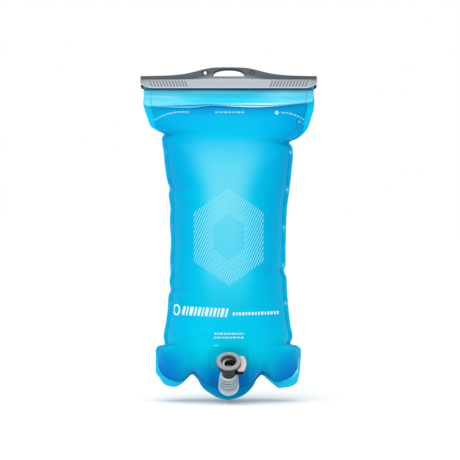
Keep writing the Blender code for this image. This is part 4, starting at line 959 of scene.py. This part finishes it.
# ---- making it
latch_coil = coil("latch_coil", LATCH_SPRING_MIDDLE, np.array([1.0, 0, 0]), LATCH_SPRING_LENGTH, 1.3 * MM,
                  5, WIRE)
valve_coil = coil("valve_coil", VALVE_SPRING_MIDDLE, SOCKET_AXIS, VALVE_SPRING_LENGTH, 2.5 * MM, 6, WIRE)
# Each piece, the body it rides on, its material slot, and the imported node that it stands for
for piece, body, slot, node in (
        (film_body("front_film", front_height, FILM_BLUE, True), "reservoir", "film", "front_panel"),
        (film_body("back_film", back_height, FILM_BLUE, False), "reservoir", "film", "back_panel"),
        (mouth_flap("inner_flap", 1, FLAP_BLUE), "reservoir", "film", None),
        (mouth_flap("outer_flap", 2, FLAP_BLUE), "reservoir", "film", None),
        (printed_marks(WHITE_INK), "reservoir", None, None),
        (elbow_sleeve(CLEAR_RUBBER), "reservoir", "elbow", "outlet_elbow"),
        (elbow_neck(CLEAR_RUBBER), "reservoir", "elbow", None),
        (collar_skirt(DARK_HOUSING), "connector", "socket", None),
        (thumb_rest(DARK_HOUSING), "connector", "socket", None),
        (blind_eyelet(SEAL_GREY), "slide_seal", "slider", None),
        (latch_coil, "connector", "spring", "latch_spring"),
        (valve_coil, "connector", "spring", "valve_spring")):
    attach(piece, body)
    if node:
        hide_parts(node)

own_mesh(latch_coil)
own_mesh(valve_coil)

for node, material in {
        "slider": SEAL_GREY, "fold_rod": RAIL_WHITE, "rear_rail": RAIL_WHITE, "port_plate": PLATE_BLUE,
        "socket_housing": DARK_HOUSING, "socket_collar": COLLAR_GREY, "latch_button": LATCH_GREY,
        "barb_tail": DARK_HOUSING, "bore_seal": RUBBER_BLACK, "valve_poppet": POPPET_GREY,
        "poppet_seal": RUBBER_BLACK}.items():
    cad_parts[node].data.materials.clear()
    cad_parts[node].data.materials.append(material)


# ---- floor, light and camera
def pale_floor():
    """A wide level floor just under the bag, a little warmer close to it, against the blue light that the
    film throws down."""
    material, tree, shader = start_material("painted_board", Roughness=0.9, Specular_IOR_Level=0.0)
    place = add_node(tree, "ShaderNodeTexCoord", out="Object")
    level = add_node(tree, "ShaderNodeVectorMath", (place, (1.0, 1.0, 0.0)), operation="MULTIPLY")
    away = add_node(tree, "ShaderNodeVectorMath", (level,), "Value", operation="LENGTH")
    near = add_node(tree, "ShaderNodeMapRange", (away, 0.02, 0.13, 1.0, 0.0))
    board = laid_over(tree, (0.93, 0.93, 0.93, 1), (grain(tree, 0.4), (0.95, 0.95, 0.95, 1)),
                      (near, (0.955, 0.905, 0.85, 1)))
    finish(tree, shader, board)
    reach = np.linspace(-30, 30, 5)
    x, y = np.meshgrid(reach, reach)
    points = np.stack([x, y, np.full_like(x, OUTLINE_BOTTOM - 1.2 * MM)], -1)
    floor = build_mesh("floor", points, grid_faces(5, 5)[..., ::-1], material)


def add_light(name, kind, energy, place, turn, **settings):
    """A light at a place, turned about X, Y and Z by angles in degrees, with its own settings."""
    data = bpy.data.lights.new(name, kind)
    data.energy = energy
    for setting, value in settings.items():
        setattr(data, setting, value)
    light = bpy.data.objects.new(name, data)
    light.location = place
    light.rotation_euler = [math.radians(angle) for angle in turn]
    bpy.context.scene.collection.objects.link(light)


def white_world(shown, given):
    """A white backdrop of one brightness to the camera, which lights the bag with another."""
    world = bpy.data.worlds.new("studio")
    bpy.context.scene.world = world
    world.use_nodes = True
    tree = world.node_tree
    background = tree.nodes["Background"]
    background.inputs["Color"].default_value = (1, 1, 1, 1)
    seen = add_node(tree, "ShaderNodeLightPath", out="Is Camera Ray")
    strength = add_node(tree, "ShaderNodeMapRange", {0: seen, 3: given, 4: shown})
    tree.links.new(strength, background.inputs["Strength"])


def front_camera():
    """A long lens, level, a little below the middle of the view's height."""
    data = bpy.data.cameras.new("camera")
    distance, covered = 2.4, 0.4646
    data.sensor_width = 36
    data.lens = 36 * distance / covered
    camera = bpy.data.objects.new("camera", data)
    camera.location = (1.3 * MM, -distance, -161 * MM)
    camera.rotation_euler = (math.radians(90), 0, 0)
    bpy.context.scene.collection.objects.link(camera)
    bpy.context.scene.camera = camera


pale_floor()
white_world(1.0, 0.66)
# A very soft sun from the front left lights the floor evenly as far as it goes, and a square lamp on the
# left in front aims at the bag's middle
add_light("overhead", "SUN", 1.55, (0, 0, 0), (14, -4, 0), angle=math.radians(50))
add_light("key", "AREA", 7, (-0.6, -1.8, 0.5), (71.0889, 0, -18.4349), size=1.4)
front_camera()
bpy.context.scene.view_settings.view_transform = "Standard"
